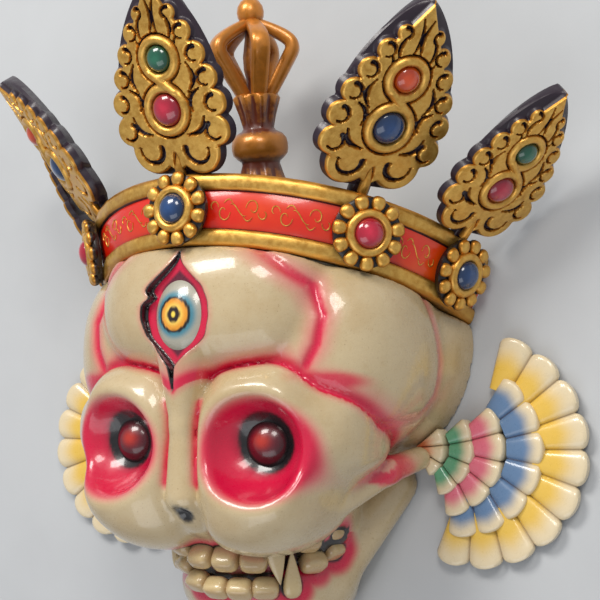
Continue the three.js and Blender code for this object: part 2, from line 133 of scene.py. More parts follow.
# ---------------------------------------------------------------- node materials
class Finish:
    """A material with short calls for the nodes that the finishes share."""

    def __init__(self, name):
        self.material = bpy.data.materials.new(name)
        self.material.use_nodes = True
        self.tree = self.material.node_tree
        self.shader = self.tree.nodes["Principled BSDF"]
        self.place = self.tree.nodes.new("ShaderNodeTexCoord").outputs["Object"]

    def link(self, source, target):
        self.tree.links.new(source, target)

    def noise(self, scale, detail=4, roughness=0.6):
        node = self.tree.nodes.new("ShaderNodeTexNoise")
        node.inputs["Scale"].default_value = scale
        node.inputs["Detail"].default_value = detail
        node.inputs["Roughness"].default_value = roughness
        self.link(self.place, node.inputs["Vector"])
        return node.outputs["Fac"]

    def attribute(self, name):
        node = self.tree.nodes.new("ShaderNodeAttribute")
        node.attribute_name = name
        return node

    def ramp(self, source, low, high, start=0.0, end=1.0):
        node = self.tree.nodes.new("ShaderNodeMapRange")
        node.interpolation_type = "SMOOTHSTEP"
        node.inputs["From Min"].default_value = low
        node.inputs["From Max"].default_value = high
        node.inputs["To Min"].default_value = start
        node.inputs["To Max"].default_value = end
        self.link(source, node.inputs["Value"])
        return node.outputs["Result"]

    def maths(self, operation, a, b):
        node = self.tree.nodes.new("ShaderNodeMath")
        node.operation = operation
        for socket, value in zip(node.inputs, (a, b)):
            if isinstance(value, (int, float)):
                socket.default_value = value
            else:
                self.link(value, socket)
        return node.outputs[0]

    def mix(self, factor, a, b):
        node = self.tree.nodes.new("ShaderNodeMix")
        node.data_type = "RGBA"
        for socket, value in ((node.inputs[0], factor), (node.inputs[6], a), (node.inputs[7], b)):
            if isinstance(value, (int, float)):
                socket.default_value = value
            elif isinstance(value, bpy.types.NodeSocket):
                self.link(value, socket)
            else:
                socket.default_value = (*value, 1)
        return node.outputs[2]

    def bump(self, height, strength, distance_mm):
        node = self.tree.nodes.new("ShaderNodeBump")
        node.inputs["Strength"].default_value = strength
        node.inputs["Distance"].default_value = distance_mm * MM
        self.link(height, node.inputs["Height"])
        self.link(node.outputs["Normal"], self.shader.inputs["Normal"])

    def gloss(self, coat, coat_roughness):
        self.shader.inputs["Coat Weight"].default_value = coat
        self.shader.inputs["Coat Roughness"].default_value = coat_roughness


def lacquer(name, ground, aged, gloss=0.7, wear=1.0):
    """Glossy brushed paint: the piece's own "paint" colours laid over an aged ground."""
    finish = Finish(name)
    cloud = finish.ramp(finish.noise(22, 5), 0.35, 0.75)
    colour = finish.mix(finish.maths("MULTIPLY", cloud, 0.55 * wear), ground, aged)
    streak = finish.ramp(finish.noise(140, 6, 0.7), 0.5, 0.72)
    colour = finish.mix(finish.maths("MULTIPLY", streak, 0.22 * wear), colour, aged)
    fleck = finish.ramp(finish.noise(900, 2, 0.5), 0.66, 0.74)
    colour = finish.mix(finish.maths("MULTIPLY", fleck, 0.4 * wear), colour, tint(120, 84, 46))
    paint = finish.attribute("paint")
    colour = finish.mix(paint.outputs["Alpha"], colour, paint.outputs["Color"])
    finish.link(colour, finish.shader.inputs["Base Color"])
    grain = finish.noise(260, 5, 0.65)
    finish.link(finish.ramp(grain, 0.3, 0.8, 0.24, 0.42), finish.shader.inputs["Roughness"])
    finish.bump(finish.maths("ADD", grain, finish.maths("MULTIPLY", finish.noise(45, 3), 2.0)), 0.35, 0.35)
    finish.gloss(gloss, 0.08)
    return finish.material


def gilding(name, gold, pale, glaze, metal=0.75, gloss=0.15):
    """Gold paint rubbed over a dark glaze; "gilt" is 1 on the raised carving and 0 in the recesses."""
    finish = Finish(name)
    gilt = finish.attribute("gilt").outputs["Fac"]
    brush = finish.noise(210, 5, 0.7)
    ragged = finish.maths("ADD", gilt, finish.maths("MULTIPLY", finish.maths("SUBTRACT", brush, 0.5), 0.55))
    cover = finish.ramp(ragged, 0.28, 0.62)
    rubbed = finish.ramp(ragged, 0.8, 1.15)
    tone = finish.ramp(finish.noise(38, 4), 0.35, 0.7)
    body = finish.mix(finish.maths("MULTIPLY", tone, 0.45), gold, tuple(c * 0.55 for c in gold))
    body = finish.mix(rubbed, body, pale)
    scuff = finish.ramp(finish.noise(420, 4, 0.7), 0.62, 0.75)
    body = finish.mix(finish.maths("MULTIPLY", scuff, 0.5), body, tuple(c * 0.3 for c in gold))
    finish.link(finish.mix(cover, glaze, body), finish.shader.inputs["Base Color"])
    finish.link(finish.maths("MULTIPLY", cover, metal), finish.shader.inputs["Metallic"])
    finish.link(finish.ramp(brush, 0.3, 0.75, 0.3, 0.5), finish.shader.inputs["Roughness"])
    finish.bump(brush, 0.4, 0.3)
    finish.gloss(gloss, 0.15)
    return finish.material


def stone(name, colour):
    """A domed stone: glassy paint, with a painted highlight lighter towards the crown of the dome and painted
    shade darker at its rim.
    """
    finish = Finish(name)
    # painted highlight and shade: the "gilt" value is 1 at the dome's crown and 0 at its rim; the crown is
    # painted paler, the rim darker
    glow = finish.attribute("gilt").outputs["Fac"]
    light = tuple(min(1, c * 2.2 + 0.05) for c in colour)
    painted_highlight = finish.maths("MULTIPLY", glow, finish.ramp(finish.noise(160, 3), 0.3, 0.7, 0.08, 0.3))
    dark = tuple(c * 0.6 for c in colour)
    finish.link(finish.mix(painted_highlight, finish.mix(glow, dark, colour), light), finish.shader.inputs["Base Color"])
    finish.shader.inputs["Roughness"].default_value = 0.22
    finish.gloss(1.0, 0.04)
    return finish.material


def plain_paint(name, colour, other, scale, roughness, gloss):
    """Paint that drifts between two near colours."""
    finish = Finish(name)
    drift = finish.ramp(finish.noise(scale, 4), 0.35, 0.7)
    finish.link(finish.mix(drift, colour, other), finish.shader.inputs["Base Color"])
    finish.shader.inputs["Roughness"].default_value = roughness
    finish.bump(finish.noise(300, 4), 0.25, 0.2)
    finish.gloss(gloss, 0.1)
    return finish.material


# ---------------------------------------------------------------- mesh helpers
def smoothstep(low, high, value):
    t = np.clip((value - low) / (high - low), 0, 1)
    return t * t * (3 - 2 * t)


def deselect():
    if bpy.context.mode != "OBJECT":
        bpy.ops.object.mode_set(mode="OBJECT")
    bpy.ops.object.select_all(action="DESELECT")


def only(obj):
    deselect()
    obj.select_set(True)
    bpy.context.view_layer.objects.active = obj


def points_of(obj):
    points = np.empty(len(obj.data.vertices) * 3)
    obj.data.vertices.foreach_get("co", points)
    return points.reshape(-1, 3)


def set_points(obj, points):
    obj.data.vertices.foreach_set("co", np.asarray(points, float).ravel())
    obj.data.update()


def set_float(obj, name, values):
    attribute = obj.data.attributes.new(name, "FLOAT", "POINT")
    attribute.data.foreach_set("value", np.asarray(values, np.float32).ravel())


def set_paint(obj, colours):
    attribute = obj.data.color_attributes.new("paint", "FLOAT_COLOR", "POINT")
    attribute.data.foreach_set("color", np.asarray(colours, np.float32).ravel())


def new_mesh(name, points, faces):
    mesh = bpy.data.meshes.new(name)
    mesh.from_pydata(np.asarray(points, float), [], faces)
    obj = bpy.data.objects.new(name, mesh)
    bpy.context.scene.collection.objects.link(obj)
    return obj


def grid(name, columns, rows):
    """A unit grid; returns it with its u and v, both 0..1, for every vertex."""
    deselect()
    bpy.ops.mesh.primitive_grid_add(x_subdivisions=columns, y_subdivisions=rows, size=1)
    obj = bpy.context.object
    obj.name = name
    flat = points_of(obj)
    return obj, flat[:, 0] + 0.5, flat[:, 1] + 0.5


def rim_down(obj, height, narrow=1.0):
    """Give an open sheet side walls down to one height, drawn in by a factor, and a flat back."""
    only(obj)
    bpy.ops.object.mode_set(mode="EDIT")
    bpy.ops.mesh.select_mode(type="EDGE")
    bpy.ops.mesh.select_all(action="DESELECT")
    bpy.ops.mesh.select_non_manifold()
    bpy.ops.mesh.extrude_edges_move(TRANSFORM_OT_translate={"value": (0, 0, 0)})
    bpy.ops.object.mode_set(mode="OBJECT")
    chosen = np.empty(len(obj.data.vertices), bool)
    obj.data.vertices.foreach_get("select", chosen)
    points = points_of(obj)
    points[chosen, 2] = height
    points[chosen, 0] *= narrow
    set_points(obj, points)
    bpy.ops.object.mode_set(mode="EDIT")
    bpy.ops.mesh.edge_face_add()
    bpy.ops.mesh.select_all(action="SELECT")
    bpy.ops.mesh.normals_make_consistent(inside=False)
    bpy.ops.object.mode_set(mode="OBJECT")


def lathe(name, profile, segments):
    """Spin a profile of (radius, height) round Y; its ends lie on the axis."""
    obj = new_mesh(
        name, [(radius, height, 0) for radius, height in profile],
        [],
    )
    obj.data.edges.add(len(profile) - 1)
    pairs = [(i, i + 1) for i in range(len(profile) - 1)]
    obj.data.edges.foreach_set("vertices", np.array(pairs).ravel())
    only(obj)
    bpy.ops.object.mode_set(mode="EDIT")
    bpy.ops.mesh.select_all(action="SELECT")
    bpy.ops.mesh.spin(
        steps=segments, angle=2 * math.pi, center=(0, 0, 0), axis=(0, 1, 0), use_auto_merge=False,
    )
    bpy.ops.mesh.select_all(action="SELECT")
    bpy.ops.mesh.remove_doubles(threshold=1e-4)
    bpy.ops.mesh.normals_make_consistent(inside=False)
    bpy.ops.object.mode_set(mode="OBJECT")
    return obj


def dome(name, radii, segments=40, rings=20):
    """A ball with the given half-sizes, its pole along Z."""
    deselect()
    bpy.ops.mesh.primitive_uv_sphere_add(segments=segments, ring_count=rings, radius=1)
    obj = bpy.context.object
    obj.name = name
    set_points(obj, points_of(obj) * np.array(radii))
    return obj


def transform(obj, matrix):
    obj.data.transform(matrix)
    if matrix.determinant() < 0:
        obj.data.flip_normals()


def join(objects, name):
    deselect()
    for obj in objects:
        obj.select_set(True)
    bpy.context.view_layer.objects.active = objects[0]
    bpy.ops.object.join()
    whole = bpy.context.object
    whole.name = name
    whole.data.name = name
    return whole


def copy_of(obj, name):
    copy = bpy.data.objects.new(name, obj.data.copy())
    bpy.context.scene.collection.objects.link(copy)
    return copy


TO_FRAME = Matrix.Scale(MM, 4) @ Matrix.Translation((SHIFT_X, SHIFT_Y, 0))


def settle(obj, name, nodes):
    """Bring a piece drawn in millimetres into the frame, name it, and hide the imported parts it stands for.
    """
    obj.data.transform(TO_FRAME)
    obj.name = name
    only(obj)
    bpy.ops.object.shade_smooth_by_angle(angle=SMOOTH_ANGLE)
    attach(obj, BODY)
    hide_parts(*nodes)


# ---------------------------------------------------------------- the skull's carving
CRANIUM = ((0, -28, -10), (140, 106, 112), 2)
TEMPLE = ((54, -31, 52), (78, 75, 76), 2.3)
BROW = ((0, -4, 66), (95, 60, 90), 2.5)
MIDFACE = ((0, -88, 56), (98, 78, 66), 2)
SOCKET_RIM = ((47, -100, 100), (43, 60, 55), 2.9)
SOCKET_LOBE = ((74, -86, 85), (38, 32, 46), 2.5)
SOCKET_FOOT = ((38, -138, 100), (34, 29, 42), 2.4)
SOCKET_BOWL = ((57, -98, 166), (40, 36, 46), 2)
PUPIL = ((52, -94, 116), (17, 17, 15), 2)
THIRD_EYE_BALL = ((0, -14, 139), (22, 28, 15), 2)
UPPER_JAW = ((0, -146, 40), (70, 42, 70), 2)
LIP = ((0, -138, 96), (30, 21, 40), 2)
LOWER_JAW = ((0, -190, 32), (62, 40, 62), 2)
BRIDGE_LINE = ((0, -30, 138), (0, -84, 141), 22, 8)
NOSE_LINE = ((0, -84, 141), (0, -127, 134), 8, 14.5)
RAMUS_LINE = ((48, -182, 30), (84, -122, 2), 18, 14)
CHEEK_LINE = ((64, -143, 98), (98, -112, 46), 13, 9)
CHEEK_END_LINE = ((98, -112, 46), (108, -104, 20), 9, 8)
NOSTRIL = ((0, -143, 146), (9, 7, 13), 2)
WALL = 16
HOLLOW_THINNING = 0.9   # share of the hollow's faces that goes
HOLLOW_REACH = 0.6      # a face this near the hollow belongs to it

# engraved lines: across and up on the forehead; up and out of the face on the side of the head
BROW_ROUTE = ((40, 36), (62, 20), (82, 4), (90, -15), (87, -33), (80, -46))
TEMPLE_ROUTE = ((40, 34), (8, 55), (-20, 42), (-40, 34), (-62, 32), (-76, 44), (-82, 84))
RIM_GROOVE = 3.0
RIM_GROOVE_DEPTH = 1.8
GROOVE_WIDTH = 2.8
GROOVE_DEPTH = 2.2

# the third eye's recess: half its width at each height
RECESS_ROUTE = (
    (-60, 0), (-47, 2), (-38, 11), (-28, 22), (-16, 26), (-6, 25.5), (4, 21), (14, 9), (20, 3), (26, 0),
)
RECESS_FLOOR = 148
CUSP_Y, CUSP_HEIGHT, CUSP_DEPTH = -3.0, 3.2, 5.0      # a point of wood left on the right-hand edge
RECESS_HEIGHTS = np.linspace(-62, 28, 91)
RECESS_SOFTENING = np.array([1, 2, 3, 4, 3, 2, 1]) / 16
RECESS_WIDTHS = np.convolve(
    np.interp(np.linspace(-65, 31, 97), *np.array(RECESS_ROUTE, float).T), RECESS_SOFTENING, "valid",
)

ARCH_Z = 42
ARCH_LEAN = math.radians(38)
UPPER_RADIUS = 61
LOWER_RADIUS = 56
UPPER_TEETH = (
    # angle round the arch, width, height of the middle
    (9, 20, -170), (26.5, 20, -170), (60, 19.5, -157), (79, 16, -151),
)
LOWER_TEETH = ((0, 18, -190), (17, 18, -190), (34, 18, -189), (66, 19, -172.5), (83, 17, -165))
UPPER_FANG = ((38, 63, -160), (42.5, 62, -184), 9.8)  # root, tip (angle, radius, height), half-width
LOWER_FANG = ((52, 58, -193), (49, 64, -166), 8.6)
TOOTH_DEPTH = 6.5
UPPER_HALF_HEIGHT = 9.0
LOWER_HALF_HEIGHT = 6.6
FAR_RISE = 0.0105                                   # the right-hand teeth rise by this times angle squared
FAR_RISE_LIMIT = 13.0


def route_distance(a, b, route):
    """Distance in a plane to a chain of points."""
    nearest = np.full(a.shape, 1e3)
    for (a0, b0), (a1, b1) in zip(route, route[1:]):
        da, db = a1 - a0, b1 - b0
        t = np.clip(((a - a0) * da + (b - b0) * db) / (da * da + db * db), 0, 1)
        nearest = np.minimum(nearest, np.hypot(a - a0 - t * da, b - b0 - t * db))
    return nearest


def recess_distance(x, y):
    """Negative inside the outline of the third eye's recess."""
    half = np.interp(y, RECESS_HEIGHTS, RECESS_WIDTHS, left=-6, right=-6)
    cusp = CUSP_DEPTH * np.exp(-(((y - CUSP_Y) / CUSP_HEIGHT) ** 2)) * (x < 0)
    return 0.8 * (np.abs(x) - half + cusp)


def ellipsoid(p, shape):
    centre, radii, power = shape
    q = np.abs((p - np.array(centre, np.float32)) / np.array(radii, np.float32)) + 1e-6
    if power == 2:
        size = np.sqrt((q * q).sum(-1))
        slope = np.sqrt(((q / np.array(radii, np.float32)) ** 2).sum(-1)) / size
    else:
        size = (q ** power).sum(-1) ** (1 / power)
        slope = size ** (1 - power) * np.sqrt(((q ** (power - 1) / np.array(radii)) ** 2).sum(-1))
    return (size - 1) / slope


def rounded_line(p, shape):
    start, end, start_radius, end_radius = shape
    start = np.array(start, np.float32)
    along = np.array(end, np.float32) - start
    t = np.clip(((p - start) @ along) / (along @ along), 0, 1)
    distance = np.linalg.norm(p - start - t[..., None] * along, axis=-1)
    return distance - (start_radius + (end_radius - start_radius) * t)


def blend(a, b, width):
    h = np.clip(0.5 + 0.5 * (b - a) / width, 0, 1)
    return b + (a - b) * h - width * h * (1 - h)


def carve(a, b, width):
    return -blend(-a, b, width)


def skull_masses(p):
    """Signed distances to the skull's named masses; p holds points of the mask's left half."""
    masses = {
        "cranium": ellipsoid(p, CRANIUM),
        "temple": ellipsoid(p, TEMPLE),
        "brow": ellipsoid(p, BROW),
        "midface": ellipsoid(p, MIDFACE),
        "upper_jaw": blend(ellipsoid(p, UPPER_JAW), ellipsoid(p, LIP), 8),
    }
    rim = blend(ellipsoid(p, SOCKET_RIM), ellipsoid(p, SOCKET_LOBE), 14)
    masses["rim"] = blend(rim, ellipsoid(p, SOCKET_FOOT), 10)
    masses["nose"] = blend(rounded_line(p, BRIDGE_LINE), rounded_line(p, NOSE_LINE), 4)
    masses["lower_jaw"] = blend(ellipsoid(p, LOWER_JAW), rounded_line(p, RAMUS_LINE), 10)
    masses["cheek"] = blend(rounded_line(p, CHEEK_LINE), rounded_line(p, CHEEK_END_LINE), 4)
    return masses


def hollow_field(m):
    """Negative inside the hollow, which follows the broad masses one wall thickness in."""
    core = m["cranium"]
    for name in ("temple", "brow", "midface", "upper_jaw", "lower_jaw"):
        core = blend(core, m[name], 8)
    return core + WALL


def skull_field(p):
    """The whole carving as one smooth signed distance, in millimetres."""
    side = p[..., 0]
    p = np.concatenate([np.abs(p[..., :1]), p[..., 1:]], -1)
    m = skull_masses(p)
    d = blend(m["cranium"], m["temple"], 4)
    d = blend(d, m["brow"], 4)
    d = blend(d, m["midface"], 8)
    rim_edge = np.exp(-(((m["rim"] - d) / RIM_GROOVE) ** 2)) * smoothstep(-132, -112, p[..., 1])
    d = blend(d, m["rim"], 3)
    nose_edge = np.exp(-(((m["nose"] - d) / RIM_GROOVE) ** 2)) * smoothstep(-138, -124, p[..., 1])
    nose_edge = nose_edge * smoothstep(-72, -92, p[..., 1])
    groove = np.maximum(rim_edge * smoothstep(18, 30, p[..., 0]), 0.6 * nose_edge)
    d = blend(d, m["nose"], 5) + RIM_GROOVE_DEPTH * groove
    d = blend(d, m["upper_jaw"], 5)
    d = blend(d, m["lower_jaw"], 6)
    d = blend(d, m["cheek"], 3)
    d = carve(d, ellipsoid(p, SOCKET_BOWL), 9)
    x, y, z = p[..., 0], p[..., 1], p[..., 2]
    brow_line = np.exp(-((route_distance(x, y, BROW_ROUTE) / GROOVE_WIDTH) ** 2)) * (z > 60)
    temple_line = np.exp(-((route_distance(y, z, TEMPLE_ROUTE) / GROOVE_WIDTH) ** 2)) * smoothstep(84, 96, x)
    d = d + GROOVE_DEPTH * brow_line + 0.6 * GROOVE_DEPTH * temple_line
    d = carve(d, np.maximum(recess_distance(side, y), RECESS_FLOOR - z), 2)
    d = carve(d, ellipsoid(p, NOSTRIL), 2)
    d = np.maximum(d, -hollow_field(m))
    d = -blend(-d, -band_seat(p), 2.5)
    return np.maximum(d, -p[..., 2])


# ---------------------------------------------------------------- crown band
BAND_LOW = {"half_width": 135, "depth": 146.1, "y": BAND_LOW_Y}
BAND_HIGH = {"half_width": 148.9, "depth": 147.3, "y": 32.8}
BAND_DIP = 0.299
BAND_THICKNESS = 8
BAND_BORDER = 2.5
ROSETTE_ANGLES = {"middle": 0, "inner": 48.5, "outer": 78}


def between(key, height):
    return BAND_LOW[key] + (BAND_HIGH[key] - BAND_LOW[key]) * height


def band_point(angle, height, out):
    """A point of the band: angle round the head, height 0..1, distance out of its face."""
    x = between("half_width", height) * np.sin(angle)
    z = between("depth", height) * np.cos(angle)
    y = between("y", height) + BAND_DIP * z
    return np.stack([x + out * np.sin(angle), y, z + out * np.cos(angle)], -1)


BAND_SEAT_GAP = 0.4


def band_seat(p):
    """Negative where the skull may stay: inside the band's inner face, or below the band."""
    y = p[..., 1] - BAND_DIP * p[..., 2]
    tall = BAND_HIGH["y"] - BAND_LOW["y"]
    height = np.clip((y - BAND_LOW["y"]) / tall, -0.5, 1.5)
    across = p[..., 0] / between("half_width", height)
    out = p[..., 2] / between("depth", height)
    ring = np.sqrt(across**2 + out**2)
    inner = (ring - 1) * between("depth", height) + BAND_THICKNESS + BAND_SEAT_GAP
    return np.minimum(inner, y - BAND_LOW["y"] + BAND_SEAT_GAP)


# ---------------------------------------------------------------- teeth
def arch_point(angle_degrees, radius, y):
    angle = math.radians(angle_degrees)
    return Vector((radius * math.sin(angle), y, ARCH_Z + radius * math.cos(angle)))


def tooth_matrix(angle, radius, y):
    turn = Matrix.Rotation(math.radians(angle), 4, "Y") @ Matrix.Rotation(-ARCH_LEAN, 4, "X")
    return Matrix.Translation(arch_point(angle, radius, y)) @ turn


def fang_matrix(root, tip, side):
    """A frame at the fang's middle: its Y runs from tip to root, its Z out of the arch."""
    root_angle, tip_angle = side * root[0], side * tip[0]
    start = arch_point(root_angle, *root[1:])
    end = arch_point(tip_angle, *tip[1:])
    along = (start - end).normalized()
    angle = math.radians(root_angle)
    out = Vector((math.sin(angle), 0, math.cos(angle)))
    across = along.cross(out).normalized()
    matrix = Matrix((across, along, across.cross(along))).transposed().to_4x4()
    matrix.translation = (start + end) / 2
    return matrix, (start - end).length / 2


def rounded_block(radii, power, taper):
    """A soft-cornered block that narrows towards -Y by the taper."""
    obj = dome("tooth", (1, 1, 1), 24, 16)
    p = points_of(obj)
    p /= ((np.abs(p) ** power).sum(1) ** (1 / power))[:, None]
    narrow = 1 - taper * (1 - p[:, 1]) / 2
    p[:, 0] *= narrow
    p[:, 2] *= narrow
    set_points(obj, p * np.array(radii))
    return obj


def far_rise(angle):
    return np.minimum(FAR_RISE * angle**2, FAR_RISE_LIMIT)


def teeth_places():
    """Every tooth as (matrix, half-sizes, power, taper)."""
    places = []
    for side in (-1, 1):
        for angle, width, y in UPPER_TEETH:
            y += far_rise(angle) * (side < 0)
            block = (0.485 * width, UPPER_HALF_HEIGHT, TOOTH_DEPTH)
            places.append((tooth_matrix(side * angle, UPPER_RADIUS, y), block, 3.6, 0.06))
        for angle, width, y in LOWER_TEETH[side > 0:]:
            y += far_rise(angle) * (side < 0)
            radius = LOWER_RADIUS + 3 * (angle > 50)
            block = (0.485 * width, LOWER_HALF_HEIGHT, TOOTH_DEPTH)
            places.append((tooth_matrix(side * angle, radius, y), block, 3.6, -0.05))
        for root, tip, half_width in (UPPER_FANG, LOWER_FANG):
            rise = far_rise(root[0]) * (side < 0)
            matrix, half_length = fang_matrix((*root[:2], root[2] + rise), (*tip[:2], tip[2] + rise), side)
            places.append((matrix, (half_width, half_length + 2.5, 6), 2.6, 0.9))
    return places


def teeth_distance(p, places):
    """Rough distance from points to the nearest tooth."""
    nearest = np.full(p.shape[:-1], 1e3)
    for matrix, radii, power, _ in places:
        inverse = np.array(matrix.inverted())
        q = p @ inverse[:3, :3].T + inverse[:3, 3]
        nearest = np.minimum(nearest, ellipsoid(q, ((0, 0, 0), radii, power)))
    return nearest


# ---------------------------------------------------------------- painting the skull
def over(under, colour, amount):
    """Lay a colour with an amount 0..1 per vertex over an RGBA paint."""
    amount = np.clip(amount, 0, 1)[:, None]
    alpha = under[:, 3:] * (1 - amount) + amount
    kept = under[:, :3] * under[:, 3:] * (1 - amount)
    rgb = (kept + np.array(colour)[None] * amount) / np.maximum(alpha, 1e-6)
    return np.concatenate([rgb, alpha], 1)


def skull_paint(points, colours):
    """Airbrushed crimson, blush and black line for every vertex of the skull, with painted shade round the
    pupils and in the nostril.
    """
    p = points.copy()
    p[:, 0] = np.abs(p[:, 0])
    x, y, z = p.T
    m = skull_masses(p)
    upper = blend(m["cranium"], m["temple"], 4)
    plates = np.minimum(upper, m["brow"])
    face = np.minimum(m["midface"], m["rim"])
    front = smoothstep(10, 60, z)
    surface = np.minimum.reduce([plates, face, m["upper_jaw"], m["lower_jaw"], m["nose"]])
    outside = 1 - smoothstep(6, 12, -surface)
    paint = np.zeros((len(p), 4))

    brow_line = route_distance(x, y, BROW_ROUTE)
    temple_line = route_distance(y, z, TEMPLE_ROUTE)
    behind = m["brow"] > -1.5
    others = np.minimum(plates, m["midface"])
    rim_line = np.abs(m["rim"] - others) + 40 * smoothstep(-118, -132, y)
    nose_line = np.abs(m["nose"] - m["rim"]) + 40 * smoothstep(-70, -50, y) + 12 * smoothstep(-120, -134, y)

    beyond = np.where(behind, 14, 5)
    temple_blush = 0.5 * (1 - smoothstep(1, 7, temple_line)) * smoothstep(84, 96, x) * outside
    paint = over(paint, colours.blush, temple_blush)
    soft = 0.8 * (1 - smoothstep(1, beyond, brow_line)) * (z > 60) * smoothstep(44, 10, y)
    soft = np.maximum(soft, (1 - smoothstep(2, 17, rim_line)) * 0.7 * (m["rim"] > others - 1))
    soft = np.maximum(soft, (1 - smoothstep(2, 9, rim_line)) * 0.6)
    soft = np.maximum(soft, (1 - smoothstep(1, 8, nose_line)) * 0.6)
    paint = over(paint, colours.blush, 0.8 * soft * outside * front)
    strong = (1 - smoothstep(1.0, np.where(behind, 5, 2.6), brow_line)) * (z > 60)
    strong = strong * (0.35 + 0.65 * smoothstep(36, 0, y))
    strong = np.maximum(strong, (1 - smoothstep(1.5, 8, rim_line)) * (m["rim"] > others - 3))
    strong = np.maximum(strong, (1 - smoothstep(1.2, 5.0, nose_line)) * 0.95)
    paint = over(paint, colours.crimson, strong * outside * front)
    wedge = np.hypot((x - 96) / 22, (y + 55) / 7)
    paint = over(paint, colours.crimson, 0.9 * (1 - smoothstep(0.4, 1.1, wedge)) * (z > 60) * (m["rim"] > 1))

    bowl = np.sqrt(((x - 56) / 40) ** 2 + ((y + 99.5) / 34) ** 2)
    deep = z > 88
    paint = over(paint, colours.blush, (1 - smoothstep(0.88, 1.12, bowl)) * 0.8 * deep)
    paint = over(paint, colours.crimson, (1 - smoothstep(0.86, 1.02, bowl)) * deep)
    pupil = np.hypot(x - PUPIL[0][0] - 2, y - PUPIL[0][1])
    # painted shade: a dark maroon ring on the bowl round the pupil's foot
    paint = over(paint, tint(96, 6, 30), 0.6 * (1 - smoothstep(17, 25, pupil)) * deep)
    paint = over(paint, colours.line, (1 - smoothstep(18.5, 20.5, pupil)) * deep)

    beside_cheek = np.minimum.reduce([m["lower_jaw"], m["midface"], m["rim"], m["upper_jaw"]])
    cheek_line = np.abs(m["cheek"] - beside_cheek)
    cheek_blush = 0.4 * (1 - smoothstep(1, 6, cheek_line)) * front * smoothstep(-128, -116, y)
    paint = over(paint, colours.blush, cheek_blush)
    cheek_crimson = 0.25 * (1 - smoothstep(1, 4, cheek_line)) * front * smoothstep(-128, -116, y)
    paint = over(paint, colours.crimson, cheek_crimson)
    # painted shade: the nostril's shallow recess is painted black for the dark of a deep hole
    nostril = ellipsoid(p, NOSTRIL)
    return over(paint, colours.line, 1 - smoothstep(0.2, 1.6, nostril))


class MASK_OT_skull(bpy.types.Operator):
    """Carve the skull with its teeth and eyes, and paint it"""

    bl_idname = "mask.skull"
    bl_label = "Skull"

    def execute(self, context):
        colours = context.scene.mask_colours
        grain = context.scene.mask_sizes.skull_grain / MM
        body = carve_surface(grain)
        refine(body, lambda p: (np.abs(p[:, 0]) < 32) & (p[:, 1] > -62) & (p[:, 1] < 28) & (p[:, 2] > 120), 2)
        refine(body, lambda p: (p[:, 1] < -146) & (p[:, 1] > -212) & (p[:, 2] > 36), 1)
        points = points_of(body)
        paint = skull_paint(points, colours)
        paint = mouth_paint(points, paint, colours)
        paint = third_eye_paint(points, paint, colours)
        set_paint(body, paint)
        parts = [body, *make_teeth(colours), *make_pupils(colours), make_third_eye(colours)]
        skull = join(parts, "skull")
        skull.data.materials.clear()
        skull.data.materials.append(lacquer("bone_lacquer", colours.bone, colours.bone_aged))
        settle(skull, "carved_skull", ["skull"])
        return {"FINISHED"}


def carve_surface(grain):
    """The skull's surface from its field, on a regular grid, then drawn onto the field."""
    low = np.array([-152.0, -240.0, -6.0])
    count = np.ceil((np.array([152.0, 90.0, 172.0]) - low) / grain).astype(int) + 1
    axes = [low[i] + grain * np.arange(count[i]) for i in range(3)]
    p = np.stack(np.meshgrid(*axes, indexing="ij"), -1).astype(np.float32)
    values = skull_field(p)
    volume = openvdb.FloatGrid(3 * grain)
    volume.copyFromArray(np.clip(values, -3 * grain, 3 * grain).astype(np.float32))
    points, triangles, quads = volume.convertToPolygons(isovalue=0.0, adaptivity=0.0)
    points = points * grain + low
    for _ in range(3):
        points = onto_field(points)
    body = new_mesh("skull_body", points, [*quads.tolist(), *triangles.tolist()])
    thin_hollow(body)
    return body


def thin_hollow(body):
    """Thin out the mesh of the hollow's plain inner face."""
    points = points_of(body)
    points[:, 0] = np.abs(points[:, 0])
    inner = hollow_field(skull_masses(points)) < HOLLOW_REACH
    group = body.vertex_groups.new(name="hollow")
    group.add(np.flatnonzero(inner).tolist(), 1.0, "REPLACE")
    only(body)
    thin = body.modifiers.new("thin", "DECIMATE")
    thin.vertex_group = group.name
    thin.ratio = 1 - HOLLOW_THINNING * float(inner.mean())
    bpy.ops.object.modifier_apply(modifier=thin.name)
    body.vertex_groups.clear()


def field_slope(points, step=0.5):
    return np.stack([
        skull_field(points + np.eye(3)[i] * step) - skull_field(points - np.eye(3)[i] * step)
        for i in range(3)
    ], -1) / (2 * step)


def onto_field(points):
    slope = field_slope(points)
    steep = np.maximum((slope ** 2).sum(1), 0.25)
    move = slope * (skull_field(points) / steep)[:, None]
    length = np.linalg.norm(move, axis=1)
    move *= np.minimum(1, 1.5 / np.maximum(length, 1e-9))[:, None]
    return points - move


def every_corner(mesh, flags):
    """For every face, whether all its corners are flagged."""
    corners = np.empty(len(mesh.loops), np.int32)
    mesh.loops.foreach_get("vertex_index", corners)
    starts = np.empty(len(mesh.polygons), np.int32)
    mesh.polygons.foreach_get("loop_start", starts)
    return np.minimum.reduceat(flags[corners].astype(np.int8), starts).astype(bool)


def refine(obj, inside, cuts):
    """Divide the faces of one region, and draw the new points onto the field."""
    only(obj)
    bpy.ops.object.mode_set(mode="EDIT")
    bpy.ops.mesh.select_mode(type="FACE")
    bpy.ops.mesh.select_all(action="DESELECT")
    bpy.ops.object.mode_set(mode="OBJECT")
    obj.data.polygons.foreach_set("select", every_corner(obj.data, inside(points_of(obj))))
    bpy.ops.object.mode_set(mode="EDIT")
    for _ in range(cuts):
        bpy.ops.mesh.subdivide(number_cuts=1)
    bpy.ops.object.mode_set(mode="OBJECT")
    points = points_of(obj)
    near = inside(points)
    for _ in range(2):
        points[near] = onto_field(points[near])
    set_points(obj, points)


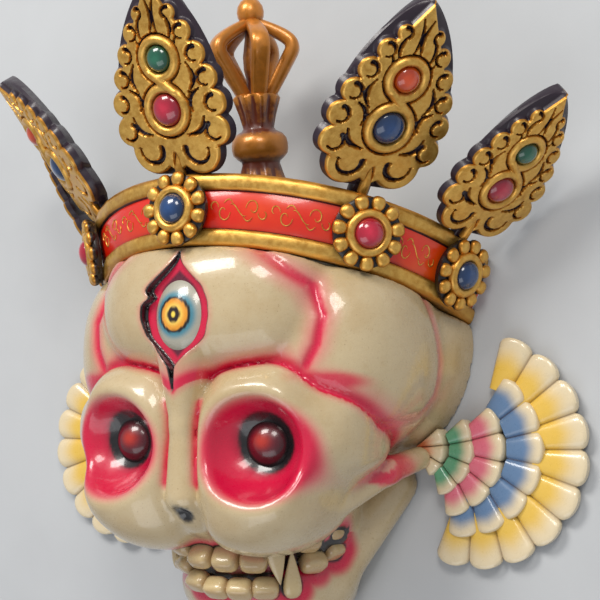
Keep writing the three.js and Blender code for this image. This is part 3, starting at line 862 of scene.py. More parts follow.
def mouth_paint(points, paint, colours):
    """Gum blush, the black lines round the teeth, the dark gap, and the crimson under the teeth."""
    x, y, z = points.T
    near = (y < -135) & (z > 20)
    distance = np.full(len(points), 1e3)
    distance[near] = teeth_distance(points[near], teeth_places())
    front = smoothstep(30, 46, z)
    turn = np.degrees(np.arctan2(np.abs(x), np.maximum(z - ARCH_Z, 1)))
    middle = -180.8 + 22 * (turn / 80) ** 2 + far_rise(turn) * (x < 0)
    gum = (1 - smoothstep(2, 12, distance)) * front * near
    paint = over(paint, colours.blush, 0.85 * gum)
    paint = over(paint, colours.crimson, 0.7 * (1 - smoothstep(1, 6, distance)) * (y > middle) * near)
    below = (1 - smoothstep(5, 13, distance)) * (y < middle) * smoothstep(16, 30, z) * near
    paint = over(paint, colours.crimson, below)
    paint = over(paint, colours.line, (1 - smoothstep(0.8, 2.2, distance)) * near)
    arch = np.hypot(x, z - ARCH_Z)
    gap = (1 - smoothstep(4.5, 6.5, np.abs(y - middle))) * smoothstep(34, 42, arch) * (turn < 88) * near
    gap = gap * (1 - smoothstep(3.5, 6, distance))
    return over(paint, colours.line, gap)


def third_eye_paint(points, paint, colours):
    """The painted recess round the third eye: crimson wall, black line inside its edge, and a maroon floor
    that is painted shade round the eyeball.
    """
    x, y, z = points.T
    edge = recess_distance(x, y)
    near = (z > 120) & (y > -64) & (y < 34)
    paint = over(paint, colours.blush, 0.35 * (1 - smoothstep(0, 5, edge)) * near)
    paint = over(paint, colours.crimson, (1 - smoothstep(-1.0, -0.2, edge)) * near)
    # painted shade: the recess floor darkens to maroon in the crevice round the eyeball
    paint = over(paint, tint(92, 12, 40), (1 - smoothstep(-8, -5, edge)) * near)
    line = (1 - smoothstep(0.8, 1.5, np.abs(edge + 0.3))) * near
    return over(paint, colours.line, line)


def make_teeth(colours):
    teeth = []
    for matrix, radii, power, taper in teeth_places():
        tooth = rounded_block(radii, power, taper)
        p = points_of(tooth) / np.array(radii)
        # painted shade: darker brown towards each tooth's edges, where it turns away and meets its neighbours
        edge = smoothstep(0.62, 0.98, np.maximum(np.abs(p[:, 0]), np.abs(p[:, 1])))
        paint = over(np.zeros((len(p), 4)), colours.ivory, np.full(len(p), 0.7))
        paint = over(paint, tint(150, 96, 40), 0.4 * edge)
        set_paint(tooth, paint)
        transform(tooth, matrix)
        teeth.append(tooth)
    return teeth


def make_pupils(colours):
    pupils = []
    centre, radii, _ = PUPIL
    for side in (-1, 1):
        pupil = dome("pupil", radii, 48, 30)
        p = points_of(pupil)
        # painted highlight: a lighter orange glow a little off the dark dome's crown, fading out through
        # maroon
        glow = np.hypot((p[:, 0] - 1) / 7.5, (p[:, 1] - 1) / 6.5)
        paint = over(np.zeros((len(p), 4)), tint(44, 6, 14), np.ones(len(p)))
        paint = over(paint, tint(104, 8, 28), 0.8 - 0.8 * smoothstep(0.8, 2.0, glow))
        paint = over(paint, tint(190, 48, 26), 0.8 - 0.8 * smoothstep(0.1, 1.2, glow))
        paint = over(paint, colours.line, 1 - smoothstep(0.42, 0.56, p[:, 2] / radii[2]))
        set_paint(pupil, paint)
        transform(pupil, Matrix.Translation((side * centre[0], centre[1], centre[2])))
        pupils.append(pupil)
    return pupils


def make_third_eye(colours):
    centre, radii, _ = THIRD_EYE_BALL
    ball = dome("third_eye", radii, 96, 70)
    p = points_of(ball)
    x, y = p[:, 0], p[:, 1]
    r = np.hypot(x, y)
    paint = over(np.zeros((len(p), 4)), tint(174, 170, 154), np.ones(len(p)))
    paint = over(paint, tint(70, 132, 150), 1 - smoothstep(12.5, 17, r))
    paint = over(paint, colours.line, 1 - smoothstep(11.6, 12.2, r))
    paint = over(paint, tint(228, 150, 40), 1 - smoothstep(9.6, 10.2, r))
    paint = over(paint, tint(246, 208, 92), 1 - smoothstep(4.5, 9, r))
    paint = over(paint, tint(30, 14, 16), 1 - smoothstep(4.7, 5.3, r))
    paint = over(paint, tint(244, 214, 80), 1 - smoothstep(1.2, 1.8, r))
    set_paint(ball, paint)
    transform(ball, Matrix.Translation(centre))
    return ball


# ---------------------------------------------------------------- the crown band's piece
BAND_SECTION = (
    # height up the band, distance out of its face, gilt 0..1
    (0.0, -8.0, 0.3), (0.0, 0.6, 0.5), (0.02, 1.6, 0.8), (0.07, 2.5, 1.0), (0.12, 2.7, 1.0),
    (0.18, 2.5, 1.0), (0.215, 1.9, 0.85), (0.232, 0.9, 0.3), (0.245, -0.4, 0.0), (0.26, -0.2, 0.0),
    (0.32, 0.7, 0.0), (0.42, 1.25, 0.0), (0.5, 1.4, 0.0), (0.58, 1.25, 0.0), (0.68, 0.7, 0.0),
    (0.74, -0.2, 0.0), (0.755, -0.4, 0.0), (0.768, 0.9, 0.3), (0.785, 1.9, 0.85), (0.82, 2.5, 1.0),
    (0.88, 2.7, 1.0), (0.93, 2.5, 1.0), (0.98, 1.6, 0.8), (1.0, 0.6, 0.5), (1.0, -8.0, 0.3),
)
PANEL_HALF = 0.26
SCROLL_OUT = 1.5
BAND_SWEEP = math.radians(90)


class MASK_OT_band(bpy.types.Operator):
    """Bend the crown band round the brow, gild its borders and paint its panels"""

    bl_idname = "mask.band"
    bl_label = "Crown band"

    def execute(self, context):
        colours = context.scene.mask_colours
        rows = len(BAND_SECTION)
        columns = 220
        band, u, v = grid("band", columns, rows - 1)
        sections = np.array(BAND_SECTION)
        index = np.clip(np.rint(v * (rows - 1)).astype(int), 0, rows - 1)
        angle = (u - 0.5) * 2 * BAND_SWEEP
        wave = 0.25 * np.sin(angle * 37 + 3 * sections[index, 0]) * (sections[index, 2] > 0.7)
        points = band_point(angle, sections[index, 0], sections[index, 1] + wave)
        set_points(band, points)
        set_float(band, "gilt", sections[index, 2])
        gilt = gilding("crown_gilding", colours.gold, colours.gold_pale, colours.glaze)
        red = plain_paint("panel_red", colours.panel, colours.panel_orange, 9, 0.32, 0.5)
        band.data.materials.append(gilt)
        band.data.materials.append(red)
        in_panel = (np.abs(sections[index, 0] - 0.5) < PANEL_HALF) & (sections[index, 1] > -1)
        band.data.polygons.foreach_set("material_index", every_corner(band.data, in_panel).astype(np.int32))
        band_wall(band)
        scrolls = paint_scrolls(context.scene.mask_sizes.scroll_width / MM)
        scrolls.data.materials.append(gilt)
        whole = join([band, scrolls], "band")
        settle(whole, "crown_band_gilt", ["crown_band"])
        return {"FINISHED"}


def band_wall(band):
    """Close the back and the two ends of the band."""
    only(band)
    bpy.ops.object.mode_set(mode="EDIT")
    bpy.ops.mesh.select_mode(type="EDGE")
    bpy.ops.mesh.select_all(action="DESELECT")
    bpy.ops.object.mode_set(mode="OBJECT")
    bpy.ops.object.mode_set(mode="EDIT")
    bpy.ops.mesh.select_non_manifold()
    bpy.ops.mesh.fill()
    bpy.ops.mesh.select_all(action="SELECT")
    bpy.ops.mesh.normals_make_consistent(inside=False)
    bpy.ops.object.mode_set(mode="OBJECT")


def spiral(centre, radius, start, turn, shrink, steps=18):
    """A spiral drawn on the flat panel: (along, up) in millimetres."""
    t = np.linspace(0, 1, steps)
    angle = np.radians(start + turn * t)
    r = radius * (1 - shrink * t)
    return np.stack([centre[0] + r * np.cos(angle), centre[1] + r * np.sin(angle)], 1)


PANEL_RADIUS = 146


def scroll_motif():
    """One S-scroll with small leaves, about 44 mm long, drawn round (0, 0)."""
    lines = []
    for turn in (1, -1):
        hook = spiral((turn * 11, turn * 1.5), 5.2, 180 if turn > 0 else 0, -330, 0.72)
        lines.append(hook)
        lines.append(spiral((turn * 19, -turn * 1.0), 4.0, 180 if turn > 0 else 0, 250, 0.7, 14))
    t = np.linspace(-1, 1, 16)
    lines.append(np.stack([6 * t, -3.2 * np.sin(t * math.pi / 2 * 1.2)], 1))
    for turn in (1, -1):
        s = np.linspace(0, 1, 10)
        lines.append(np.stack([turn * (4 + 7 * s), turn * (-3.5 - 2.2 * np.sin(s * math.pi))], 1))
    return lines


def paint_scrolls(width):
    """Thin raised brush lines of gold on the red panels between the rosettes."""
    ribbons = []
    angles = sorted(ROSETTE_ANGLES.values())
    stretches = list(zip(angles, angles[1:]))
    for side in (-1, 1):
        for low, high in stretches:
            low_angle, high_angle = math.radians(low), math.radians(high)
            mean = 0.5 * (low_angle + high_angle)
            run = PANEL_RADIUS * (high_angle - low_angle) - 42
            copies = max(1, round(run / 50))
            for k in range(copies):
                offset = (k - (copies - 1) / 2) * (run / copies)
                stretch = min(1.25, run / copies / 46)
                for line in scroll_motif():
                    points = band_line(side * mean, offset, line * np.array([stretch, 1.15]))
                    ribbons.append(ribbon(points, width))
    return join(ribbons, "scrolls")


def band_line(angle, offset, line):
    """Lay a flat line of (along, up) millimetres on the band's panel."""
    tall = BAND_HIGH["y"] - BAND_LOW["y"]
    around = angle + (offset + line[:, 0]) / PANEL_RADIUS
    height = 0.5 + line[:, 1] / tall
    bulge = SCROLL_OUT - 1.5 * ((height - 0.5) / 0.25) ** 2 * 0.9
    return band_point(around, height, bulge)


def ribbon(points, width):
    """A tapered, slightly raised brush stroke along points."""
    count = len(points)
    along = np.gradient(points, axis=0)
    along /= np.linalg.norm(along, axis=1)[:, None]
    out = points * np.array([1, 0, 1])
    out /= np.linalg.norm(out, axis=1)[:, None]
    across = np.cross(along, out)
    t = np.linspace(0, 1, count)
    half = width / 2 * (0.35 + 0.65 * np.sin(math.pi * np.clip(t * 0.9 + 0.08, 0, 1)))
    rings = []
    sides = 6
    for k in range(sides):
        a = 2 * math.pi * k / sides
        rings.append(points + across * (half * math.cos(a))[:, None] + out * (0.35 * math.sin(a)))
    vertices = np.stack(rings, 1).reshape(-1, 3)
    faces = []
    for i in range(count - 1):
        for k in range(sides):
            n = (k + 1) % sides
            faces.append((i * sides + k, i * sides + n, (i + 1) * sides + n, (i + 1) * sides + k))
    faces.append(tuple(reversed(range(sides))))
    faces.append(tuple((count - 1) * sides + k for k in range(sides)))
    stroke = new_mesh("stroke", vertices, faces)
    set_float(stroke, "gilt", np.full(len(vertices), 0.95))
    return stroke


# ---------------------------------------------------------------- rosettes
ROSETTE_DISC = 22.5
ROSETTE_HEIGHT = 5
ROSETTE_BEADS = 11
ROSETTE_STONES = {"middle": "gem_blue", "inner": "gem_pink", "outer": "gem_blue"}


def rosette_frame(angle):
    low = Vector(band_point(angle, 0, BAND_BORDER))
    high = Vector(band_point(angle, 1, BAND_BORDER))
    up = (high - low).normalized()
    step = 0.01
    across = Vector(band_point(angle + step, 0.5, 0) - band_point(angle - step, 0.5, 0))
    out = across.cross(up).normalized()
    side = up.cross(out)
    origin = (low + high) / 2 + out * 0.4
    matrix = Matrix((side, up, out)).transposed().to_4x4()
    matrix.translation = origin
    return matrix


def with_gilt(obj, values):
    set_float(obj, "gilt", values)
    return obj


def model_rosette(gem):
    """One rosette about the origin, facing +Z: glazed disc, bead petals, ring; the stone apart."""
    disc_profile = [
        (0, 0), (ROSETTE_DISC - 0.6, 0), (ROSETTE_DISC, 0.8), (ROSETTE_DISC, 3.6), (ROSETTE_DISC - 1.2, 4.6),
        (16, ROSETTE_HEIGHT), (8, ROSETTE_HEIGHT), (0, ROSETTE_HEIGHT),
    ]
    disc = lathe("disc", disc_profile, 66)
    transform(disc, Matrix.Rotation(math.pi / 2, 4, "X"))
    with_gilt(disc, np.full(len(disc.data.vertices), 0.05))
    parts = [disc]
    for k in range(ROSETTE_BEADS):
        bead = rounded_block((5.0, 4.6, 3.9), 2.4, 0)
        p = points_of(bead)
        p[:, 1] *= 1 + 0.12 * p[:, 0] / 5
        set_points(bead, p)
        rubbed = smoothstep(-0.2, 0.9, p[:, 2] / 3.9)
        with_gilt(bead, 0.2 + 0.8 * rubbed)
        around = Matrix.Rotation(2 * math.pi * (k + 0.5) / ROSETTE_BEADS, 4, "Z")
        transform(bead, around @ Matrix.Translation((19.2, 0, 5.2)))
        parts.append(bead)
    ring_profile = [
        (9.4, 4), (9.4, 7.6), (10.0, 9.0), (11.4, 9.9), (13.0, 9.9), (14.4, 9.0),
        (15.3, 7.4), (15.5, 4), (9.4, 4),
    ]
    ring = lathe("ring", ring_profile, 60)
    transform(ring, Matrix.Rotation(math.pi / 2, 4, "X"))
    height = points_of(ring)[:, 2]
    with_gilt(ring, smoothstep(5.0, 8.6, height))
    parts.append(ring)
    return join(parts, "rosette"), model_stone(gem, 7.2, 7.0)


def model_stone(radius, base, height):
    """A domed stone about the origin, facing +Z."""
    gem = dome("stone", (radius, radius, height), 40, 24)
    p = points_of(gem)
    # the "gilt" value here runs from 1 at the crown to 0 at the rim and sets the stone's painted highlight
    # and shade
    with_gilt(gem, 1 - smoothstep(0.0, 0.95, np.hypot(p[:, 0], p[:, 1]) / radius))
    transform(gem, Matrix.Translation((0, 0, base)))
    return gem


def sides_of(name):
    return [("", 1)] if name == "middle" else [("_left", 1), ("_right", -1)]


class MASK_OT_rosettes(bpy.types.Operator):
    """Model one rosette and set a copy at each of its five places on the band"""

    bl_idname = "mask.rosettes"
    bl_label = "Rosettes"

    def execute(self, context):
        colours = context.scene.mask_colours
        gilt = gilding("rosette_gilding", colours.gold, colours.gold_pale, colours.glaze)
        rosette, gem = model_rosette(context.scene.mask_sizes.gem_radius / MM)
        rosette.data.materials.append(gilt)
        for name, degrees in ROSETTE_ANGLES.items():
            colour = ROSETTE_STONES[name]
            paint = stone(f"{colour}_{name}_rosette", getattr(colours, colour))
            for ending, side in sides_of(name):
                body = copy_of(rosette, "body")
                jewel = copy_of(gem, "jewel")
                jewel.data.materials.append(paint)
                whole = join([body, jewel], "rosette")
                transform(whole, rosette_frame(math.radians(degrees) * side))
                settle(whole, f"rosette_{name}{ending}_gilt", [f"rosette_{name}{ending}"])
        bpy.data.objects.remove(rosette)
        bpy.data.objects.remove(gem)
        return {"FINISHED"}


# ---------------------------------------------------------------- crown leaves
LEAF_LENGTH = 124
LEAF_PLATE = 9
LEAF_RELIEF = 4.2
LEAF_CROWN = 3.0
LEAF_BACK = 0.82                          # width of the back over the front
CROWN_TILT = math.radians(16.65)
LEAVES = {
    # azimuth, lean and spin in degrees, scale, foot; a right-hand leaf is given as its mirror image
    ("middle", ""): (0, 42, -5, 1.0, (0, 83, 141)),
    ("inner", "_left"): (70, 45, 18, 1.0, (103, 75.5, 98)),
    ("inner", "_right"): (55, 46, -2, 1.0, (103, 75.5, 98)),
    ("outer", "_left"): (83, 50, 19, 0.9, (146.5, 51.5, 37)),
    ("outer", "_right"): (80, 35, 25, 0.9, (147.5, 50, 29.5)),
}
LEAF_STONES = {
    "middle": ("gem_crimson", "gem_green"),
    "inner": ("gem_blue", "gem_orange"),
    "outer": ("gem_crimson", "gem_green"),
}
LEAF_SEATS = ((41.0, 10.5), (73.5, 8.5))  # height of a stone up the leaf, its radius
SETTING_BAND = 3.5                        # half-width of the gilt band round the stones
LEAF_LOBES = (
    # across, up, radius, where its curl's cut starts and ends (degrees)
    (17.5, 14.5, 17.0, 170, 372),
    (32.5, 27.0, 11.5, 130, 310),
    (34.5, 44.5, 10.0, 95, 290),
    (31.0, 60.5, 9.5, 85, 290),
    (25.5, 75.5, 9.0, 85, 290),
    (18.5, 89.5, 8.2, 80, 285),
    (11.0, 101.5, 6.6, 80, 280),
)
LEAF_GROOVES = (
    # a curved cut from one point to another with its bow to the side, then its half-width
    ((14, 25), (27, 36), -4, 1.5),
    ((20, 40), (26, 54), 4, 1.3),
    ((19, 52), (20, 70), -4, 1.4),
    ((16, 70), (15, 86), 3, 1.3),
    ((10, 84), (8, 102), -3, 1.1),
    ((3, 88), (3.5, 112), 2.5, 1.0),
)


def leaf_half_width(height):
    """The plate's outline: the lobes' outer edge with a narrow border, drawn in to the tip."""
    s = np.clip(height / LEAF_LENGTH, 0, 1)
    smooth = 44 * 2.32 * np.sqrt(np.maximum(s, 1e-4)) * (1 - s) ** 0.75 * 0.9
    reach = np.zeros_like(height)
    for across, up, radius, _, _ in LEAF_LOBES:
        inside = np.maximum(radius**2 - (height - up) ** 2, 0)
        reach = np.maximum(reach, np.where(inside > 0, across + np.sqrt(inside), 0))
    return np.clip(np.maximum(smooth * (height > 20), reach + 0.6), 1.2, 46)


def arc_distance(u, v, centre, radius, start, end):
    """Distance to an arc, with where along it (0..1) the nearest point lies."""
    angle = np.degrees(np.arctan2(v - centre[1], u - centre[0]))
    turn = (angle - start) % 360
    span = end - start
    along = np.clip(turn / span, 0, 1)
    along = np.where(turn > span, np.where(turn - span < (360 - span) / 2, 1.0, 0.0), along)
    nearest = np.radians(start + span * along)
    du = u - centre[0] - radius * np.cos(nearest)
    dv = v - centre[1] - radius * np.sin(nearest)
    return np.hypot(du, dv), along


def bow_distance(u, v, start, end, bow):
    """Distance to a shallow curve between two points."""
    start, end = np.array(start, float), np.array(end, float)
    along = end - start
    length = np.linalg.norm(along)
    direction = along / length
    normal = np.array([-direction[1], direction[0]])
    t = np.clip(((u - start[0]) * direction[0] + (v - start[1]) * direction[1]) / length, 0, 1)
    cu = start[0] + along[0] * t + normal[0] * bow * np.sin(math.pi * t)
    cv = start[1] + along[1] * t + normal[1] * bow * np.sin(math.pi * t)
    return np.hypot(u - cu, v - cv), t


def leaf_carving(u, v):
    """(height of the carving 0..1 and over, gilt 0..1) on one leaf."""
    a = np.abs(u)
    lobes = np.full_like(u, 1e3)
    for across, up, radius, _, _ in LEAF_LOBES:
        lobes = np.minimum(lobes, np.hypot(a - across, v - up) - radius)
    rise = [0, 8, *(lobe[1] for lobe in LEAF_LOBES), LEAF_LENGTH - 2]
    reach = [2, 14, *(lobe[0] + 0.35 * lobe[2] for lobe in LEAF_LOBES), 1.6]
    trunk = a - np.interp(v, rise, reach)
    body = np.minimum(lobes, trunk)
    cleft = np.hypot(a * 1.6, np.maximum(v - 6, 0) * 0.55) - 3.2 * (v < 14)
    height = 1 - smoothstep(-2.6, 0.3, body)
    cut = np.zeros_like(u)
    for across, up, radius, start, end in LEAF_LOBES:
        d, t = arc_distance(a, v, (across, up), radius * 0.5, start, end)
        half = (0.5 + 1.3 * (1 - t)) * (radius / 12) ** 0.5
        cut = np.maximum(cut, 1 - smoothstep(half * 0.45, half * 1.25, d))
    for start, end, bow, half in LEAF_GROOVES:
        d, t = bow_distance(a, v, start, end, bow)
        half = half * (0.4 + 0.8 * np.sin(math.pi * np.clip(t, 0.05, 0.95)))
        cut = np.maximum(cut, 1 - smoothstep(half * 0.4, half * 1.3, d))
    cut = np.maximum(cut, 1 - smoothstep(-1.0, 1.4, cleft))
    height = height * (1 - cut)
    ring = np.full_like(u, 1e3)
    for up, gem in LEAF_SEATS:
        ring = np.minimum(ring, np.abs(np.hypot(u, v - up) - gem - SETTING_BAND))
    cross_d, _ = bow_distance(u, v, (8.6, 52.1), (-7.2, 64.3), 0)
    moat = 1 - smoothstep(SETTING_BAND + 0.1, SETTING_BAND + 1.4, np.minimum(ring, cross_d))
    height = np.where(moat > 0, height * (1 - moat), height)
    band = np.sqrt(np.clip(1 - (ring / SETTING_BAND) ** 2, 0, 1))
    cross = 1.18 * np.sqrt(np.clip(1 - (cross_d / SETTING_BAND) ** 2, 0, 1))
    setting = np.maximum(band, cross)
    height = np.maximum(height, 0.25 + 1.15 * setting * (setting > 0.02) - 0.25 * (setting <= 0.02))
    for up, gem in LEAF_SEATS:
        socket = np.hypot(u, v - up) - gem
        height = np.where(socket < 0.2, 0.1, height)
    return height, smoothstep(0.3, 0.85, height)


def leaf_matrix(azimuth, lean, spin, scale, foot):
    crown_up = Vector((0, math.cos(CROWN_TILT), -math.sin(CROWN_TILT)))
    crown_front = Vector((0, math.sin(CROWN_TILT), math.cos(CROWN_TILT)))
    azimuth, lean, spin = (math.radians(a) for a in (azimuth, lean, spin))
    outward = Vector((math.sin(azimuth), 0, 0)) + crown_front * math.cos(azimuth)
    along = crown_up * math.cos(lean) + outward * math.sin(lean)
    across = crown_up.cross(outward).normalized()
    face = across.cross(along)
    turn = Matrix.Rotation(spin, 3, face)
    matrix = Matrix((turn @ across, turn @ along, face)).transposed().to_4x4()
    return Matrix.Translation(foot) @ matrix @ Matrix.Scale(scale, 4)


def model_leaf():
    """One leaf standing up +Y from its foot, facing +Z, with its two stones apart."""
    columns, rows = 120, 170
    leaf, cu, cv = grid("leaf", columns, rows)
    low = -2.3
    v = low + (LEAF_LENGTH - low) * cv
    u = (2 * cu - 1) * leaf_half_width(v)
    height, gilt = leaf_carving(u, v)
    edge = 1 - np.abs(2 * cu - 1)
    crown = LEAF_CROWN * (1 - (2 * cu - 1) ** 2) * smoothstep(0, 30, v)
    z = LEAF_PLATE - 1.5 + crown + LEAF_RELIEF * height
    z = z - 2.0 * (1 - smoothstep(0, 0.03, edge))
    set_points(leaf, np.stack([u, v, z], 1))
    set_float(leaf, "gilt", gilt)
    rim_down(leaf, 0.0, LEAF_BACK)
    walls = points_of(leaf)[:, 2] < 0.5
    values = np.empty(len(leaf.data.vertices), np.float32)
    leaf.data.attributes["gilt"].data.foreach_get("value", values)
    values[walls] = 0
    leaf.data.attributes["gilt"].data.foreach_set("value", values)
    spike = lathe("spike", [(0, -6), (3.6, -6), (3.4, 2), (0.3, 15), (0, 15.4)], 20)
    transform(spike, Matrix.Translation((0, 0, LEAF_PLATE + 0.5)))
    with_gilt(spike, np.full(len(spike.data.vertices), 0.9))
    deselect()
    bpy.ops.mesh.primitive_cube_add(size=1)
    stem = bpy.context.object
    set_points(stem, points_of(stem) * np.array([13, 30, 7]) + np.array([0, -1, 4]))
    only(stem)
    bevel = stem.modifiers.new("edges", "BEVEL")
    bevel.width = 1.2
    bevel.segments = 3
    bpy.ops.object.modifier_apply(modifier="edges")
    with_gilt(stem, np.full(len(stem.data.vertices), 0.0))
    whole = join([leaf, spike, stem], "leaf")
    stones = []
    for up, radius in LEAF_SEATS:
        gem = model_stone(radius + 0.3, LEAF_PLATE + 3.2, 6.5)
        transform(gem, Matrix.Translation((0, up, 0)))
        stones.append(gem)
    return whole, stones


class MASK_OT_leaves(bpy.types.Operator):
    """Carve one flame leaf and set a copy at each of its five places above the band"""

    bl_idname = "mask.leaves"
    bl_label = "Crown leaves"

    def execute(self, context):
        colours = context.scene.mask_colours
        gilt = gilding("leaf_gilding", colours.gold, colours.gold_pale, colours.plum)
        leaf, stones = model_leaf()
        leaf.data.materials.clear()
        leaf.data.materials.append(gilt)
        for (name, ending), pose in LEAVES.items():
            parts = [copy_of(leaf, "body")]
            for gem, colour in zip(stones, LEAF_STONES[name]):
                jewel = copy_of(gem, "jewel")
                jewel.data.materials.append(stone(f"{colour}_{name}_leaf", getattr(colours, colour)))
                parts.append(jewel)
            whole = join(parts, "leaf")
            transform(whole, leaf_matrix(*pose))
            if ending == "_right":
                transform(whole, Matrix.Scale(-1, 4, (1, 0, 0)))
            settle(whole, f"leaf_{name}{ending}_gilt", [f"leaf_{name}{ending}"])
        for obj in (leaf, *stones):
            bpy.data.objects.remove(obj)
        return {"FINISHED"}


# ---------------------------------------------------------------- thunderbolt finial
VAJRA_FOOT = (0, 76, 50)
VAJRA_LEAN = math.radians(9.5)
VAJRA_PROFILE = (
    # radius, height up the axis, how rubbed with gold
    (0, -15, 0.3), (19.5, -15, 0.3), (19.4, 0, 0.5), (19, 4, 0.7), (17, 11, 0.7),
    (14.6, 19, 0.6), (13.5, 25, 0.25),
    (13.8, 27, 0.1), (16.5, 29, 0.6), (19.2, 32, 0.9), (20, 35.5, 1), (20, 39, 1), (19.2, 43, 0.9),
    (16.5, 46.4, 0.6), (12.5, 48.4, 0.15), (11, 50.4, 0.15), (11.3, 54, 0.5),
    (12.6, 60, 0.5), (14.5, 66, 0.6),
    (16.2, 71.5, 0.9), (15.4, 73.5, 0.8), (10, 74, 0.2), (7.6, 76, 0.15), (6, 84, 0.3), (7.5, 92, 0.5),
    (7.5, 101, 0.5), (5.4, 113, 0.4), (4.5, 121, 0.15), (4.9, 122.5, 0.15), (7.6, 125, 0.7), (9.2, 128.6, 1),
    (9.6, 132, 1), (8.9, 136, 1), (6.4, 139.8, 1), (3.2, 141.8, 1), (0, 142.2, 1),
)
PRONG_ROUTE = (
    (7, 68), (12.5, 78), (18.5, 88), (24.5, 98), (28.2, 104), (27.5, 109.5),
    (22.5, 114), (15, 118.5), (5, 123.5),
)
PRONGS = 5


def model_prong():
    """One claw of the finial: a rounded, ridged bar bent up and over."""
    route = np.array(PRONG_ROUTE, float)
    t = np.linspace(0, 1, len(route))
    fine = np.linspace(0, 1, 40)
    route = np.stack([np.interp(fine, t, route[:, i]) for i in range(2)], 1)
    for _ in range(3):
        route[1:-1] = 0.25 * route[:-2] + 0.5 * route[1:-1] + 0.25 * route[2:]
    along = np.gradient(route, axis=0)
    along /= np.linalg.norm(along, axis=1)[:, None]
    out = np.stack([along[:, 1], -along[:, 0]], 1)
    sides = 14
    width = 6.8 - 1.8 * np.abs(2 * fine - 1) ** 2
    depth = 5.0 - 1.0 * np.abs(2 * fine - 1) ** 2
    points, gilt = [], []
    for k in range(sides):
        a = 2 * math.pi * k / sides
        c, s = math.cos(a), math.sin(a)
        power = 0.62
        cc = math.copysign(abs(c) ** power, c)
        ss = math.copysign(abs(s) ** power, s)
        lift = depth * ss
        across = route[:, 0] + out[:, 0] * lift
        up = route[:, 1] + out[:, 1] * lift
        points.append(np.stack([across, up, width * cc], 1))
        gilt.append(np.full(len(route), 0.75 + 0.25 * s))
    vertices = np.stack(points, 1).reshape(-1, 3)
    faces = []
    count = len(route)
    for i in range(count - 1):
        for k in range(sides):
            n = (k + 1) % sides
            faces.append((i * sides + k, (i + 1) * sides + k, (i + 1) * sides + n, i * sides + n))
    faces.append(tuple(range(sides)))
    faces.append(tuple(reversed([(count - 1) * sides + k for k in range(sides)])))
    prong = new_mesh("prong", vertices, faces)
    set_float(prong, "gilt", np.stack(gilt, 1).ravel())
    return prong


class MASK_OT_vajra(bpy.types.Operator):
    """Turn and flute the thunderbolt finial, and bend its prongs round it"""

    bl_idname = "mask.vajra"
    bl_label = "Finial"

    def execute(self, context):
        colours = context.scene.mask_colours
        axis = lathe("axis", [row[:2] for row in VAJRA_PROFILE], 72)
        p = points_of(axis)
        angle = np.arctan2(p[:, 2], p[:, 0])
        heights = [row[1] for row in VAJRA_PROFILE]
        flute = np.cos(angle * 8)
        cup = smoothstep(50, 55, p[:, 1]) * (1 - smoothstep(71, 74, p[:, 1]))
        foot = smoothstep(1, 5, p[:, 1]) * (1 - smoothstep(19, 26, p[:, 1]))
        swell = 1 + 0.07 * flute * np.maximum(cup, foot)
        p[:, 0] *= swell
        p[:, 2] *= swell
        set_points(axis, p)
        rub = np.interp(p[:, 1], heights, [row[2] for row in VAJRA_PROFILE])
        rub = rub * (0.72 + 0.28 * smoothstep(68, 84, p[:, 1]))
        with_gilt(axis, rub - 0.35 * (flute < -0.6) * np.maximum(cup, foot))
        parts = [axis]
        prong = model_prong()
        for k in range(PRONGS):
            copy = copy_of(prong, "prong")
            transform(copy, Matrix.Rotation(2 * math.pi * (k + 0.35) / PRONGS, 4, "Y"))
            parts.append(copy)
        bpy.data.objects.remove(prong)
        vajra = join(parts, "vajra")
        bright = tuple(1.3 * c for c in colours.amber)
        amber = gilding("amber_gilding", colours.amber, bright, colours.amber_dark, 0.5, 0.5)
        vajra.data.materials.append(amber)
        transform(vajra, Matrix.Translation(VAJRA_FOOT) @ Matrix.Rotation(VAJRA_LEAN, 4, "X"))
        settle(vajra, "vajra_amber", ["vajra_finial"])
        return {"FINISHED"}


# ---------------------------------------------------------------- ear fans
FAN_CENTRE_Y = -97
FAN_BACK = 3
FAN_THICKNESS = 4
FAN_STEP = 2
FAN_ROWS = (
    # centre x, radius, first and last angle, lobes, colour at the lobe's root
    (103, 22, -62, 40, 3, tint(224, 104, 44)),
    (112, 33, -78, 40, 4, tint(44, 150, 112)),
    (120, 46, -86, 40, 5, tint(216, 84, 120)),
    (134, 58.5, -100, 58, 7, tint(48, 108, 160)),
    (143, 79, -112, 76, 10, tint(228, 184, 52)),
)
FAN_CREAM = tint(224, 206, 170)


